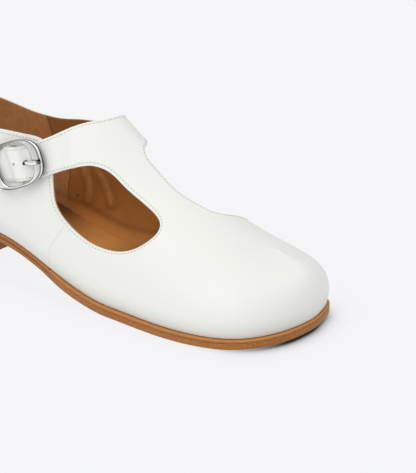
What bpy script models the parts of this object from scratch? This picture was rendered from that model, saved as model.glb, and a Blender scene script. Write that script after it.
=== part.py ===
"""A flat T strap shoe for the right foot, in metres.

The shoe is worked out in its own frame: X runs from the back of the heel to the toe, Y to the inner side
of the foot, Z up from the floor. The last is a ring of stations round the shoe. Each station has a curve
that rises from the feather edge, where upper and sole meet, to the ridge along the middle of the foot.
"""

import math

import bmesh
import bpy
import numpy as np
from mathutils.geometry import delaunay_2d_cdt

# Thicknesses and gaps
WALL = 0.0019
GAP = 0.0003
SOLE_THICKNESS = 0.0048
WELT_THICKNESS = 0.0014
INSOLE_THICKNESS = 0.0022
TOP_PIECE_THICKNESS = 0.0050

# How the sole stands: its seat on the heel, the arch, the ball on the floor and the spring of the toe
SEAT_HEIGHT = 0.0230
SEAT_FRONT_X = 0.068
ARCH_FRONT_X = 0.158
BALL_FRONT_X = 0.175
TOE_X = 0.2530
TOE_SPRING = 0.0028

# Stations 0 to 14 run from the back of the heel to the toe. Heading is the direction in which the wall
# leaves the ridge, in degrees from straight ahead. Lean is the wall's outward lean at the feather edge.
OUTER_SIDE = (
    # x, y, lean, rise, reach, heading
    (0.0020, 0.0000, 6, 0.0450, 0.0400, 180),
    (0.0060, -0.0165, 6, 0.0450, 0.0340, 150),
    (0.0240, -0.0275, 6, 0.0460, 0.0240, 115),
    (0.0460, -0.0280, 7, 0.0460, 0.0200, 95),
    (0.0700, -0.0270, 9, 0.0460, 0.0200, 90),
    (0.0950, -0.0260, 14, 0.0420, 0.0200, 90),
    (0.1180, -0.0285, 16, 0.0340, 0.0220, 90),
    (0.1400, -0.0315, 16, 0.0260, 0.0220, 90),
    (0.1620, -0.0345, 16, 0.0210, 0.0240, 90),
    (0.1840, -0.0380, 15, 0.0190, 0.0270, 90),
    (0.2076, -0.0395, 14, 0.0196, 0.0263, 82),
    (0.2311, -0.0344, 13, 0.0210, 0.0246, 65),
    (0.2459, -0.0190, 12, 0.0222, 0.0208, 40),
    (0.2514, -0.0044, 12, 0.0231, 0.0189, 15),
    (0.2526, 0.0056, 13, 0.0234, 0.0176, 0),
)
INNER_SIDE = (
    # x, y, lean, rise, reach, heading, for stations 1 to 13
    (0.0060, 0.0165, 6, 0.0450, 0.0340, 150),
    (0.0240, 0.0270, 4, 0.0460, 0.0240, 115),
    (0.0460, 0.0275, 3, 0.0480, 0.0200, 95),
    (0.0700, 0.0240, 5, 0.0480, 0.0200, 90),
    (0.0930, 0.0215, 12, 0.0460, 0.0200, 90),
    (0.1150, 0.0220, 16, 0.0400, 0.0200, 90),
    (0.1380, 0.0265, 16, 0.0340, 0.0180, 90),
    (0.1600, 0.0330, 14, 0.0290, 0.0180, 90),
    (0.1840, 0.0380, 12, 0.0250, 0.0200, 90),
    (0.2083, 0.0387, 11, 0.0213, 0.0183, 82),
    (0.2295, 0.0354, 12, 0.0209, 0.0175, 65),
    (0.2458, 0.0269, 13, 0.0227, 0.0187, 40),
    (0.2510, 0.0164, 13, 0.0236, 0.0181, 15),
)
RIDGE = (
    # x, y, z, fall towards the toe in degrees
    (0.0520, 0.0000, 0.1220, 0),
    (0.0600, 0.0000, 0.1220, 0),
    (0.0740, 0.0000, 0.1210, 6),
    (0.0920, 0.0000, 0.1180, 14),
    (0.1100, 0.0010, 0.1120, 25),
    (0.1270, 0.0020, 0.1010, 36),
    (0.1430, 0.0030, 0.0870, 43),
    (0.1600, 0.0040, 0.0720, 40),
    (0.1770, 0.0030, 0.0595, 30),
    (0.1930, 0.0030, 0.0524, 20),
    (0.2060, 0.0030, 0.0476, 21),
    (0.2160, 0.0035, 0.0431, 20),
    (0.2240, 0.0040, 0.0407, 18),
    (0.2286, 0.0040, 0.0402, 17),
    (0.2300, 0.0040, 0.0401, 16),
)
TOE_STATION = len(RIDGE) - 1
RING_STATIONS = 2 * TOE_STATION

# Outlines drawn on the last: station along the shoe, and place across it, which is -1 at the outer
# feather edge, 0 on the ridge and 1 at the inner feather edge.
TOPLINE_BACK = 0.57
INNER_TOPLINE = (
    (0.00, 0.570), (0.30, 0.574), (1.00, 0.607), (2.00, 0.641), (3.10, 0.658), (3.95, 0.661),
    (4.45, 0.634), (4.85, 0.577), (5.17, 0.521), (5.43, 0.452), (5.63, 0.340), (5.76, 0.200),
    (5.78, 0.060), (5.69, -0.078), (5.55, -0.166), (5.42, -0.232), (5.265, -0.312),
)
OUTER_OPENING = (
    (5.885, -0.444), (5.99, -0.411), (6.13, -0.373), (6.30, -0.342), (6.46, -0.323), (6.66, -0.312), (6.95, -0.310),
    (7.32, -0.300), (7.78, -0.287), (8.07, -0.293), (8.25, -0.317), (8.33, -0.361), (8.28, -0.432),
    (8.13, -0.505), (7.90, -0.569), (7.65, -0.611), (7.36, -0.643), (6.97, -0.671), (6.63, -0.680), (6.34, -0.679),
    (6.08, -0.669), (5.90, -0.648), (5.74, -0.607), (5.57, -0.557), (5.42, -0.512), (5.24, -0.484),
    (4.94, -0.474), (4.58, -0.508), (4.02, -0.554), (3.20, -0.585), (2.00, -0.600), (1.00, -0.590),
    (0.30, -0.573), (0.00, -0.570),
)
INNER_CUTOUT = (
    (6.60, 0.094), (6.64, 0.013), (6.73, -0.027), (6.91, -0.057), (7.20, -0.062), (7.80, -0.057),
    (8.24, -0.044), (8.72, -0.025), (9.23, 0.000), (9.54, 0.081), (9.66, 0.178), (9.72, 0.280),
    (9.66, 0.380), (9.40, 0.480), (9.00, 0.560), (8.50, 0.615), (7.90, 0.655), (7.30, 0.675),
    (6.70, 0.680), (6.25, 0.665), (5.98, 0.625), (5.88, 0.560), (5.95, 0.480), (6.12, 0.390),
    (6.34, 0.280), (6.50, 0.180),
)
CHART_SCALE = np.array((0.0175, 0.075))
UPPER_STEP = 0.0058
EDGE_STEP = 0.0042

# The strap's tail runs from its root, beside the T bar, over the buckle's bar, at s = 0, to its tip
TAIL = (
    # s, station and place of the top edge, station and place of the low edge
    (0.0305, 5.265, -0.312, 5.885, -0.444),
    (0.0225, 5.145, -0.392, 5.695, -0.507),
    (0.0127, 4.93, -0.481, 5.42, -0.599),
    (0.0000, 4.63, -0.560, 5.03, -0.695),
    (-0.0155, 4.13, -0.635, 4.51, -0.770),
    (-0.0260, 3.80, -0.680, 4.16, -0.815),
)
TAIL_ROOT = TAIL[0][0]
TAIL_TIP = TAIL[-1][0]
TAIL_RISE_END = 0.0195
TAIL_LIFT = 0.0024
HUMP_RADIUS = 0.0060
HUMP_TOP = 0.0061
HUMP_FOOT_RADIUS = 0.0040
TAIL_COLUMNS = 9
TAIL_TIP_LENGTH = 0.0080
STRAP_HALF_WIDTH = 0.00915
STRAP_SQUEEZE = (0.00080, 0.0090)
PRONG_HOLE = (0.0037, 0.0064)
TAIL_ROWS = (
    0.0305, 0.0268, 0.0231, 0.0195, 0.0160, 0.0125, 0.0098, 0.0078, 0.0064, 0.0050, 0.0037, 0.0024,
    0.0008, -0.0008, -0.0024, -0.0037, -0.0050, -0.0064, -0.0078, -0.0100, -0.0130, -0.0160, -0.0188,
    -0.0214, -0.0238, -0.0256,
)

# Sole outline beyond the feather edge, and the rebate that the welt lies in
WAIST_MARGIN = 0.0006
FOREPART_MARGIN = 0.0023
TOE_MARGIN = 0.0014
WELT_START = 6.0
MARGIN_RUN = (5.6, 6.6)
REBATE_WIDTH = 0.0046
EDGE_ROUND = 0.0006

# Heel, seen from above: it ends in a hollow breast line
BREAST_STATION = 4.05
BREAST_HOLLOW = 0.0060
HEEL_INSET = 0.0004
HEEL_TAPER = 0.0016

# Buckle: an oval casting with its bar. It lies in the plane that touches the quarter under the bar, and it
# is turned a little from the strap's direction. The strap's chart is not quite square there.
BUCKLE_TURN = math.radians(10)
CHART_SKEW = 0.215
FRAME_CENTRE = (-0.0012, -0.0001)
FRAME_TILT = 0.04
FRAME_HALF_LENGTH = 0.0168
FRAME_HALF_WIDTH = 0.0120
WINDOW_HALF_LENGTH = 0.0103
WINDOW_HALF_WIDTH = 0.0105
FRAME_SQUARENESS = 2.7
WINDOW_SQUARENESS = 3.0
FRAME_LEVEL = 0.0043
BAR_LEVEL = 0.0021
BAR_RADIUS = 0.00075
PRONG_RADIUS = 0.0005
PRONG_PLAY = 0.00015
STAY_HALF_WIDTH = 0.0070
STAY_THICKNESS = 0.00085
STAY_HALF_LENGTH = 0.0039
STAY_SLOT = 0.0016

LEATHER_WHITE = (0.86, 0.87, 0.83, 1)
LEATHER_TAN = (0.33, 0.14, 0.05, 1)
LEATHER_EDGE = (0.30, 0.12, 0.045, 1)
LEATHER_HEEL = (0.22, 0.085, 0.03, 1)
RUBBER_TAN = (0.17, 0.07, 0.03, 1)
METAL = (0.72, 0.72, 0.72, 1)


def smoothstep(x):
    x = np.clip(x, 0.0, 1.0)
    return x * x * (3.0 - 2.0 * x)


def closed_spline(rows, place):
    """Cubic spline through a closed ring of rows, and its rate of change, at the given row numbers."""
    count = len(rows)
    turn = np.eye(count)
    system = 4 * turn + np.roll(turn, 1, 1) + np.roll(turn, -1, 1)
    rates = np.linalg.solve(system, 3 * (np.roll(rows, -1, 0) - np.roll(rows, 1, 0)))
    first = np.floor(place).astype(int)
    f = (place - first)[..., None]
    a, b = rows[first % count], rows[(first + 1) % count]
    c, d = rates[first % count], rates[(first + 1) % count]
    value = (2 * f**3 - 3 * f**2 + 1) * a + (3 * f**2 - 2 * f**3) * b
    value += (f**3 - 2 * f**2 + f) * c + (f**3 - f**2) * d
    rate = 6 * (f - f**2) * (b - a) + (3 * f**2 - 4 * f + 1) * c + (3 * f**2 - 2 * f) * d
    return value, rate


def open_spline(knots, rows, place):
    """Natural cubic spline through rows at increasing knots, read at the given places."""
    knots, rows = np.asarray(knots, float), np.asarray(rows, float)
    gaps = np.diff(knots)
    slopes = np.diff(rows, axis=0) / gaps[:, None]
    count = len(knots)
    system = np.eye(count)
    right = np.zeros_like(rows)
    for i in range(1, count - 1):
        system[i, i - 1:i + 2] = gaps[i - 1], 2 * (gaps[i - 1] + gaps[i]), gaps[i]
        right[i] = 6 * (slopes[i] - slopes[i - 1])
    bend = np.linalg.solve(system, right)
    i = np.clip(np.searchsorted(knots, place, side="right") - 1, 0, count - 2)
    h = gaps[i][..., None]
    t = (np.asarray(place) - knots[i])[..., None]
    start = slopes[i] - h * (2 * bend[i] + bend[i + 1]) / 6
    return rows[i] + start * t + bend[i] * t**2 / 2 + (bend[i + 1] - bend[i]) * t**3 / (6 * h)


def ring_rows():
    """One row for each station round the shoe: outer side heel to toe, then inner side toe to heel."""
    sides = np.array(OUTER_SIDE + INNER_SIDE[::-1], float)
    heading = np.radians(sides[:, 5])
    heading[: len(OUTER_SIDE)] *= -1
    order = list(range(TOE_STATION + 1)) + list(range(TOE_STATION - 1, 0, -1))
    ridge = np.array(RIDGE, float)[order]
    return np.column_stack([sides[:, :5], np.cos(heading), np.sin(heading), ridge])


RING = ring_rows()


def ground(x):
    """Height of the sole's underside: flat on the heel, down through the arch, flat, up to the toe."""
    arch = smoothstep((ARCH_FRONT_X - x) / (ARCH_FRONT_X - SEAT_FRONT_X))
    spring = np.clip((x - BALL_FRONT_X) / (TOE_X - BALL_FRONT_X), 0, None) ** 2
    return SEAT_HEIGHT * arch + TOE_SPRING * spring


def plan(place, offset=0.0):
    """Feather edge seen from above, moved outwards by the offset."""
    value, rate = closed_spline(RING[:, :2], place)
    along = rate / np.linalg.norm(rate, axis=-1, keepdims=True)
    outward = np.stack([along[..., 1], -along[..., 0]], -1)
    return value + np.asarray(offset)[..., None] * outward


def last_surface(place, height):
    """Point on the last: height runs from 0 on the feather edge to 1 on the ridge, on a Bezier curve."""
    place, height = np.broadcast_arrays(np.asarray(place, float), np.asarray(height, float))
    row, rate = closed_spline(RING, place)
    x, y, lean, rise, reach, ahead, aside, _, _, _, fall = np.moveaxis(row, -1, 0)
    along = rate[..., :2] / np.linalg.norm(rate[..., :2], axis=-1, keepdims=True)
    lean, fall = np.radians(lean), np.radians(fall)
    size = np.hypot(ahead, aside)
    ahead, aside = ahead / size, aside / size
    feather = np.stack([x, y, ground(x) + SOLE_THICKNESS + GAP], -1)
    up = np.stack([along[..., 1] * np.sin(lean), -along[..., 0] * np.sin(lean), np.cos(lean)], -1)
    out = np.stack([ahead * np.cos(fall), aside, -ahead * np.sin(fall)], -1)
    ridge = row[..., 7:10]
    wall = feather + rise[..., None] * up
    crown = ridge + reach[..., None] * out
    v = height[..., None]
    return (1 - v) ** 3 * feather + 3 * (1 - v) ** 2 * v * wall + 3 * (1 - v) * v**2 * crown + v**3 * ridge


def on_last(station, across, lift=0.0):
    """Point at a chart place, moved off the last by the lift."""
    station, across, lift = np.broadcast_arrays(*(np.asarray(a, float) for a in (station, across, lift)))
    place = np.where(across < 0, station, RING_STATIONS - station)
    height = 1 - np.abs(across)
    step = 0.002
    high = np.minimum(height + step, 1.0)
    round_shoe = last_surface(place + step, height) - last_surface(place - step, height)
    upwards = last_surface(place, high) - last_surface(place, high - 2 * step)
    normal = np.cross(round_shoe, upwards)
    normal /= np.linalg.norm(normal, axis=-1, keepdims=True)
    return last_surface(place, height) + lift[..., None] * normal


def along_buckle(s, w):
    """Distance from the bar, square to it, of a place given by the strap's own measures."""
    return (s + CHART_SKEW * w) * math.cos(BUCKLE_TURN) + w * math.sin(BUCKLE_TURN)


def beside_bar(x, y):
    """The strap's measures of a place given square to the bar, x, and along it, y."""
    across = x * math.sin(BUCKLE_TURN) + y * math.cos(BUCKLE_TURN)
    return x * math.cos(BUCKLE_TURN) - y * math.sin(BUCKLE_TURN) - CHART_SKEW * across, across


def tail_lift(s, w):
    """Height of the strap's face over the quarter: it rises from its root, and a hump of two arcs, one
    round each way, takes it over the bar."""
    rise = TAIL_LIFT * smoothstep((TAIL_ROOT - s) / (TAIL_ROOT - TAIL_RISE_END))
    middle = HUMP_TOP - HUMP_RADIUS
    both = HUMP_RADIUS + HUMP_FOOT_RADIUS
    reach = math.sqrt(both**2 - (TAIL_LIFT + HUMP_FOOT_RADIUS - middle) ** 2)
    turn = HUMP_RADIUS * reach / both
    far = np.abs(along_buckle(s, w))
    crown = middle + np.sqrt(HUMP_RADIUS**2 - np.minimum(far, turn) ** 2)
    foot = np.sqrt(HUMP_FOOT_RADIUS**2 - np.clip(reach - far, 0, HUMP_FOOT_RADIUS) ** 2)
    return np.where(far < turn, crown, rise + HUMP_FOOT_RADIUS - foot)


def on_strap(s, w, lift):
    """Point by the strap's own measures: s along it from the bar, w across it, both in metres."""
    rows = np.array(TAIL[::-1], float)
    edge = open_spline(rows[:, 0], rows[:, 1:], s)
    share = 0.5 + 0.5 * (np.asarray(w) / STRAP_HALF_WIDTH)[..., None]
    chart = share * edge[..., 0:2] + (1 - share) * edge[..., 2:4]
    return on_last(chart[..., 0], chart[..., 1], lift)


def on_buckle(x, y, z):
    """Point by the buckle's own measures: x square to the bar, y along it, z off the quarter."""
    def at(s, w, lift):
        return on_strap(np.array(s), np.array(w), np.array(lift))
    origin, h = at(0.0, 0.0, 0.0), 0.0005
    ahead = at(h, 0.0, 0.0) - at(-h, 0.0, 0.0)
    ahead /= np.linalg.norm(ahead)
    outward = at(0.0, 0.0, h) - origin
    outward /= np.linalg.norm(outward)
    aside = np.cross(outward, ahead)
    aside *= np.sign(np.dot(aside, at(0.0, h, 0.0) - origin))
    c, t = math.cos(BUCKLE_TURN), math.sin(BUCKLE_TURN)
    x, y, z = (np.asarray(a, float)[..., None] for a in (x, y, z))
    return origin + (x * c - y * t) * ahead + (x * t + y * c) * aside + z * outward


def drawn_line(points, step):
    """A smooth line through chart points, read at even steps."""
    points = np.array(points, float)
    length = np.linalg.norm(np.diff(points, axis=0) * CHART_SCALE, axis=1)
    knots = np.concatenate([[0], np.cumsum(length)])
    count = max(2, int(round(knots[-1] / step)) + 1)
    return open_spline(knots, points, np.linspace(0, knots[-1], count))


def straight(start, end, step):
    """Chart points from start up to but not including end."""
    start, end = np.array(start, float), np.array(end, float)
    count = max(1, int(round(np.linalg.norm((end - start) * CHART_SCALE) / step)))
    return start + (end - start) * np.arange(count)[:, None] / count


def inside(points, loop):
    """Which points lie inside a closed loop, by the crossings of a ray along the first axis."""
    x, y = points[:, 0][:, None], points[:, 1][:, None]
    a, b = loop, np.roll(loop, -1, 0)
    crosses = (a[:, 1] > y) != (b[:, 1] > y)
    rise = np.where(a[:, 1] == b[:, 1], 1.0, b[:, 1] - a[:, 1])
    at = a[:, 0] + (y - a[:, 1]) / rise * (b[:, 0] - a[:, 0])
    return (crosses & (x < at)).sum(1) % 2 == 1


def spread_points(loops, step):
    """Chart points inside the outline and outside its holes, kept apart on the last by most of a step."""
    stations = np.arange(0, TOE_STATION, step / CHART_SCALE[0])
    across = np.arange(-1, 1, step / CHART_SCALE[1])
    grid = np.array([(t + 0.5 * (j % 2) * step / CHART_SCALE[0], q) for t in stations for j, q in enumerate(across)])
    keep = inside(grid, loops[0])
    for hole in loops[1:]:
        keep &= ~inside(grid, hole)
    grid = grid[keep]
    taken = np.concatenate([on_last(loop[:, 0], loop[:, 1]) for loop in loops])
    chosen = []
    for point, spot in zip(grid, on_last(grid[:, 0], grid[:, 1])):
        if np.min(np.sum((taken - spot) ** 2, axis=1)) > (0.62 * step) ** 2:
            taken = np.vstack([taken, spot])
            chosen.append(point)
    return np.array(chosen)


def new_object(name, mesh, material, collection, parent):
    obj = bpy.data.objects.new(name, mesh)
    obj.data.materials.append(material)
    obj.parent = parent
    collection.objects.link(obj)
    return obj


def closed_mesh(name, points, faces, smooth_angle=40):
    """A mesh from points and faces, welded, with its faces turned outwards."""
    mesh = bpy.data.meshes.new(name)
    mesh.from_pydata([tuple(p) for p in points], [], [tuple(map(int, f)) for f in faces])
    bm = bmesh.new()
    bm.from_mesh(mesh)
    bmesh.ops.remove_doubles(bm, verts=bm.verts, dist=1e-6)
    bmesh.ops.dissolve_degenerate(bm, edges=bm.edges, dist=1e-7)
    bmesh.ops.recalc_face_normals(bm, faces=bm.faces)
    bm.to_mesh(mesh)
    bm.free()
    mesh.shade_smooth()
    mesh.set_sharp_from_angle(angle=math.radians(smooth_angle))
    return mesh


def make_material(name, color, roughness, metallic=0.0):
    material = bpy.data.materials.new(name)
    material.use_nodes = True
    shader = material.node_tree.nodes["Principled BSDF"]
    shader.inputs["Base Color"].default_value = color
    shader.inputs["Roughness"].default_value = roughness
    shader.inputs["Metallic"].default_value = metallic
    return material


def upper_sheet():
    """Outer face of the upper as chart points and triangles: vamp, T bar, strap root and quarters."""
    inner_top = drawn_line(INNER_TOPLINE, EDGE_STEP)
    opening = drawn_line(OUTER_OPENING, EDGE_STEP)
    root = np.linspace(TAIL[0][1:3], TAIL[0][3:5], TAIL_COLUMNS + 1)
    toe = float(TOE_STATION)
    outline = np.concatenate([
        straight((0, -TOPLINE_BACK), (0, -1), UPPER_STEP),
        straight((0, -1), (toe, -1), UPPER_STEP),
        straight((toe, -1), (toe, 0), UPPER_STEP),
        straight((toe, 0), (toe, 1), UPPER_STEP),
        straight((toe, 1), (0, 1), UPPER_STEP),
        straight((0, 1), (0, TOPLINE_BACK), UPPER_STEP),
        inner_top[:-1],
        root,
        opening[1:-1],
    ])
    cutout = drawn_line(INNER_CUTOUT + INNER_CUTOUT[:1], EDGE_STEP)[:-1]
    loops = [outline, cutout]
    points = np.concatenate([outline, cutout, spread_points(loops, UPPER_STEP)])
    edges = []
    first = 0
    for loop in loops:
        count = len(loop)
        edges += [(first + i, first + (i + 1) % count) for i in range(count)]
        first += count
    flat = points * CHART_SCALE
    found = delaunay_2d_cdt([tuple(p) for p in flat], edges, [], 0, 1e-9)
    placed = np.array([tuple(p) for p in found[0]]) / CHART_SCALE
    faces = np.array(found[2])
    middle = placed[faces].mean(axis=1)
    keep = inside(middle, outline) & ~inside(middle, cutout)
    return placed, faces[keep]


def tail_sheet():
    """Outer face of the strap's tail as points and faces, with a hole for the prong and a round tip. The
    rows turn to lie along the bar near it."""
    rows = np.array(TAIL_ROWS)
    narrow = np.sqrt(1 - np.clip((TAIL_TIP + TAIL_TIP_LENGTH - rows) / TAIL_TIP_LENGTH, 0, 0.97) ** 2)
    across = np.linspace(1, -1, TAIL_COLUMNS + 1) * STRAP_HALF_WIDTH
    squeeze = 1 - STRAP_SQUEEZE[0] / STRAP_HALF_WIDTH * np.exp(-((rows / STRAP_SQUEEZE[1]) ** 2))
    w = across[None, :] * (narrow * squeeze)[:, None]
    turn = smoothstep((0.024 - rows) / 0.012) * smoothstep((rows + 0.026) / 0.013)
    s = rows[:, None] - w * turn[:, None] * (CHART_SKEW + math.tan(BUCKLE_TURN))
    points = on_strap(s, w, tail_lift(s, w))
    faces = []
    for i in range(len(rows) - 1):
        holed = PRONG_HOLE[0] <= rows[i + 1] and rows[i] <= PRONG_HOLE[1]
        for j in range(TAIL_COLUMNS):
            if not (holed and j == TAIL_COLUMNS // 2):
                a = i * len(across) + j
                faces.append((a, a + 1, a + 1 + len(across), a + len(across)))
    return points.reshape(-1, 3), faces


def make_upper(material, collection, parent):
    """The whole leather wall: one open sheet with a strap tail, given its thickness inwards."""
    chart, triangles = upper_sheet()
    sheet = on_last(chart[:, 0], chart[:, 1])
    tail, quads = tail_sheet()
    faces = [tuple(f) for f in triangles] + [tuple(np.array(q) + len(sheet)) for q in quads]
    mesh = closed_mesh("upper", np.concatenate([sheet, tail]), faces)
    wanted = on_last(10.0, -0.5) - on_last(10.0, 0.5)
    lowest = min(mesh.polygons, key=lambda p: p.center.y)
    if lowest.normal.y * wanted[1] < 0:
        mesh.flip_normals()
    obj = new_object("upper", mesh, material, collection, parent)
    wall = obj.modifiers.new("wall", "SOLIDIFY")
    wall.thickness = WALL
    wall.offset = -1.0
    wall.use_even_offset = True
    wall.thickness_clamp = 0.8
    return obj


def edge_stations(first=0.0, last=float(TOE_STATION), step=0.33):
    count = int(round((last - first) / step))
    return first + (last - first) * np.arange(count + 1) / count


def ring_places(stations):
    """Ring places of the outer side heel to toe, then of the inner side toe to heel."""
    return np.concatenate([stations, RING_STATIONS - stations[::-1][1:-1]])


def slab(name, stations, rings, columns=4):
    """A closed plate. Each ring is an offset from the feather edge and a height over the ground, from
    the middle of the top round the edge to the middle of the underside."""
    places = ring_places(stations)
    count = len(places)
    points = []
    for offset, height in rings:
        flat = plan(places, offset(places) if callable(offset) else np.full(count, offset))
        level = ground(flat[:, 0]) + (height(places) if callable(height) else height)
        points.append(np.column_stack([flat, level]))
    faces = []
    for r in range(len(rings) - 1):
        for i in range(count):
            j = (i + 1) % count
            faces.append((r * count + i, r * count + j, (r + 1) * count + j, (r + 1) * count + i))
    stack = np.concatenate(points)
    faces_all = list(faces)
    half = len(stations)
    for ring in (points[0], points[-1]):
        outer = ring[:half]
        inner = ring[[0] + list(range(count - 1, half - 1, -1)) + [half - 1]]
        share = np.linspace(0, 1, columns + 1)[None, :, None]
        sheet = outer[:, None] * (1 - share) + inner[:, None] * share
        thickness = outer[:, 2] - ground(outer[:, 0])
        sheet[..., 2] = ground(sheet[..., 0]) + thickness[:, None]
        sheet[:, 0], sheet[:, -1] = outer, inner
        base = len(stack)
        stack = np.concatenate([stack, sheet.reshape(-1, 3)])
        wide = columns + 1
        for i in range(half - 1):
            for j in range(columns):
                a = base + i * wide + j
                faces_all.append((a, a + 1, a + 1 + wide, a + wide))
    return closed_mesh(name, stack, faces_all)


def margin(places):
    """How far the sole stands out past the feather edge: little at the waist, a shelf at the forepart."""
    station = np.where(places > TOE_STATION, RING_STATIONS - places, places)
    run = smoothstep((station - MARGIN_RUN[0]) / (MARGIN_RUN[1] - MARGIN_RUN[0]))
    toe = smoothstep((places - 11.5) / 2.0) * (1 - smoothstep((places - 16.5) / 2.5))
    return WAIST_MARGIN + (FOREPART_MARGIN - WAIST_MARGIN) * run - (FOREPART_MARGIN - TOE_MARGIN) * toe


def rebate_height(places):
    """Height of the sole at its edge: lower where the welt lies on it."""
    station = np.where(places > TOE_STATION, RING_STATIONS - places, places)
    return np.where(station > WELT_START - 0.01, SOLE_THICKNESS - WELT_THICKNESS - GAP, SOLE_THICKNESS)


def make_outsole(material, collection, parent):
    step = 0.02
    stations = np.concatenate([edge_stations(last=WELT_START - step), edge_stations(first=WELT_START)])
    inner = REBATE_WIDTH - FOREPART_MARGIN
    rings = (
        (-inner - 0.0040, SOLE_THICKNESS),
        (-inner - 0.0005, SOLE_THICKNESS),
        (-inner, rebate_height),
        (margin, rebate_height),
        (margin, EDGE_ROUND),
        (lambda places: margin(places) - EDGE_ROUND, 0.0),
        (-0.0060, 0.0),
    )
    mesh = slab("outsole", stations, rings)
    return new_object("outsole", mesh, material, collection, parent)


def make_welt(material, collection, parent):
    """The strip of leather in the sole's rebate, from one side of the waist round the toe to the other."""
    stations = edge_stations(first=WELT_START + 0.02)
    places = np.concatenate([stations, RING_STATIONS - stations[::-1][1:]])
    inner = REBATE_WIDTH - FOREPART_MARGIN - GAP
    low, high = SOLE_THICKNESS - WELT_THICKNESS, SOLE_THICKNESS
    section = ((-inner, high), (margin, high), (margin, low), (-inner, low))
    points = []
    for offset, height in section:
        flat = plan(places, offset(places) if callable(offset) else np.full(len(places), offset))
        points.append(np.column_stack([flat, ground(flat[:, 0]) + height]))
    count = len(places)
    faces = [(0, count, 2 * count, 3 * count), tuple(r * count + count - 1 for r in range(4))]
    for r in range(4):
        s = (r + 1) % 4
        faces += [(r * count + i, r * count + i + 1, s * count + i + 1, s * count + i) for i in range(count - 1)]
    mesh = closed_mesh("welt", np.concatenate(points), faces)
    return new_object("welt", mesh, material, collection, parent)


def make_insole(material, collection, parent):
    inset = WALL + 2 * GAP
    bottom = SOLE_THICKNESS + GAP
    rings = (
        (-inset - 0.0050, bottom + INSOLE_THICKNESS),
        (-inset, bottom + INSOLE_THICKNESS - 0.0003),
        (-inset, bottom),
        (-inset - 0.0050, bottom),
    )
    mesh = slab("insole", edge_stations(), rings)
    return new_object("insole", mesh, material, collection, parent)


def heel_outline(inset):
    """Plan of the heel: the back of the sole, then a hollow line across the breast."""
    stations = edge_stations(last=BREAST_STATION)
    places = np.concatenate([-stations[::-1], stations[1:]])
    back = plan(places, np.full(len(places), WAIST_MARGIN - inset))
    start, end = back[-1], back[0]
    share = np.linspace(0, 1, 9)[1:-1, None]
    breast = start + (end - start) * share
    breast[:, 0] -= BREAST_HOLLOW * np.sin(np.pi * share[:, 0]) + inset
    return np.concatenate([back, breast])


def make_heel_part(name, bottom, top, material, collection, parent):
    """A layer of the heel between two heights, on the taper from the seat to the floor."""
    seat = SEAT_HEIGHT - GAP
    loops = []
    for height in (bottom, top):
        inset = HEEL_INSET + HEEL_TAPER * (1 - height / seat)
        flat = heel_outline(inset)
        loops.append(np.column_stack([flat, np.full(len(flat), height)]))
    count = len(loops[0])
    faces = [tuple(range(count)), tuple(range(count, 2 * count))]
    faces += [(i, (i + 1) % count, count + (i + 1) % count, count + i) for i in range(count)]
    mesh = closed_mesh(name, np.concatenate(loops), faces, smooth_angle=30)
    return new_object(name, mesh, material, collection, parent)


def squared_oval(length, width, squareness, turns):
    """A loop between an ellipse, at squareness 2, and a rectangle."""
    c, s = np.cos(turns), np.sin(turns)
    power = 2 / squareness
    return length * np.sign(c) * np.abs(c) ** power, width * np.sign(s) * np.abs(s) ** power


def buckle_ring():
    """Section of the frame carried round its oval: share runs from the window to the outer edge."""
    section = (
        # share across the band, height over the frame's level
        (0.00, 0.0000), (0.12, 0.0008), (0.55, 0.0005), (0.84, 0.0012), (1.00, 0.0005),
        (0.95, -0.0008), (0.50, -0.0008), (0.06, -0.0006),
    )
    turns = np.linspace(0, 2 * math.pi, 48, endpoint=False)
    rows = []
    window = squared_oval(WINDOW_HALF_LENGTH, WINDOW_HALF_WIDTH, WINDOW_SQUARENESS, turns)
    edge = squared_oval(FRAME_HALF_LENGTH, FRAME_HALF_WIDTH, FRAME_SQUARENESS, turns)
    for share, rise in section:
        x, y = (a + (b - a) * share + c for a, b, c in zip(window, edge, FRAME_CENTRE))
        rows.append(on_buckle(x, y, FRAME_LEVEL + rise - FRAME_TILT * y))
    count = len(turns)
    faces = []
    for r in range(len(section)):
        q = (r + 1) % len(section)
        for i in range(count):
            j = (i + 1) % count
            faces.append((r * count + i, r * count + j, q * count + j, q * count + i))
    return closed_mesh("buckle_frame", np.concatenate(rows), faces)


def tube(name, path, radius, sides=8):
    """A round bar along a path, with flat ends, as a mesh."""
    curve = bpy.data.curves.new(name, "CURVE")
    curve.dimensions = "3D"
    curve.bevel_depth = radius
    curve.bevel_resolution = sides // 4
    curve.use_fill_caps = True
    spline = curve.splines.new("POLY")
    spline.points.add(len(path) - 1)
    for point, spot in zip(spline.points, path):
        point.co = (*spot, 1.0)
    helper = bpy.data.objects.new(name, curve)
    bpy.context.scene.collection.objects.link(helper)
    bpy.context.view_layer.update()
    mesh = bpy.data.meshes.new_from_object(helper.evaluated_get(bpy.context.evaluated_depsgraph_get()))
    bpy.data.objects.remove(helper)
    bm = bmesh.new()
    bm.from_mesh(mesh)
    bmesh.ops.remove_doubles(bm, verts=bm.verts, dist=1e-6)
    bmesh.ops.recalc_face_normals(bm, faces=bm.faces)
    bm.to_mesh(mesh)
    bm.free()
    mesh.materials.clear()
    mesh.shade_smooth()
    mesh.set_sharp_from_angle(angle=math.radians(50))
    return mesh


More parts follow.
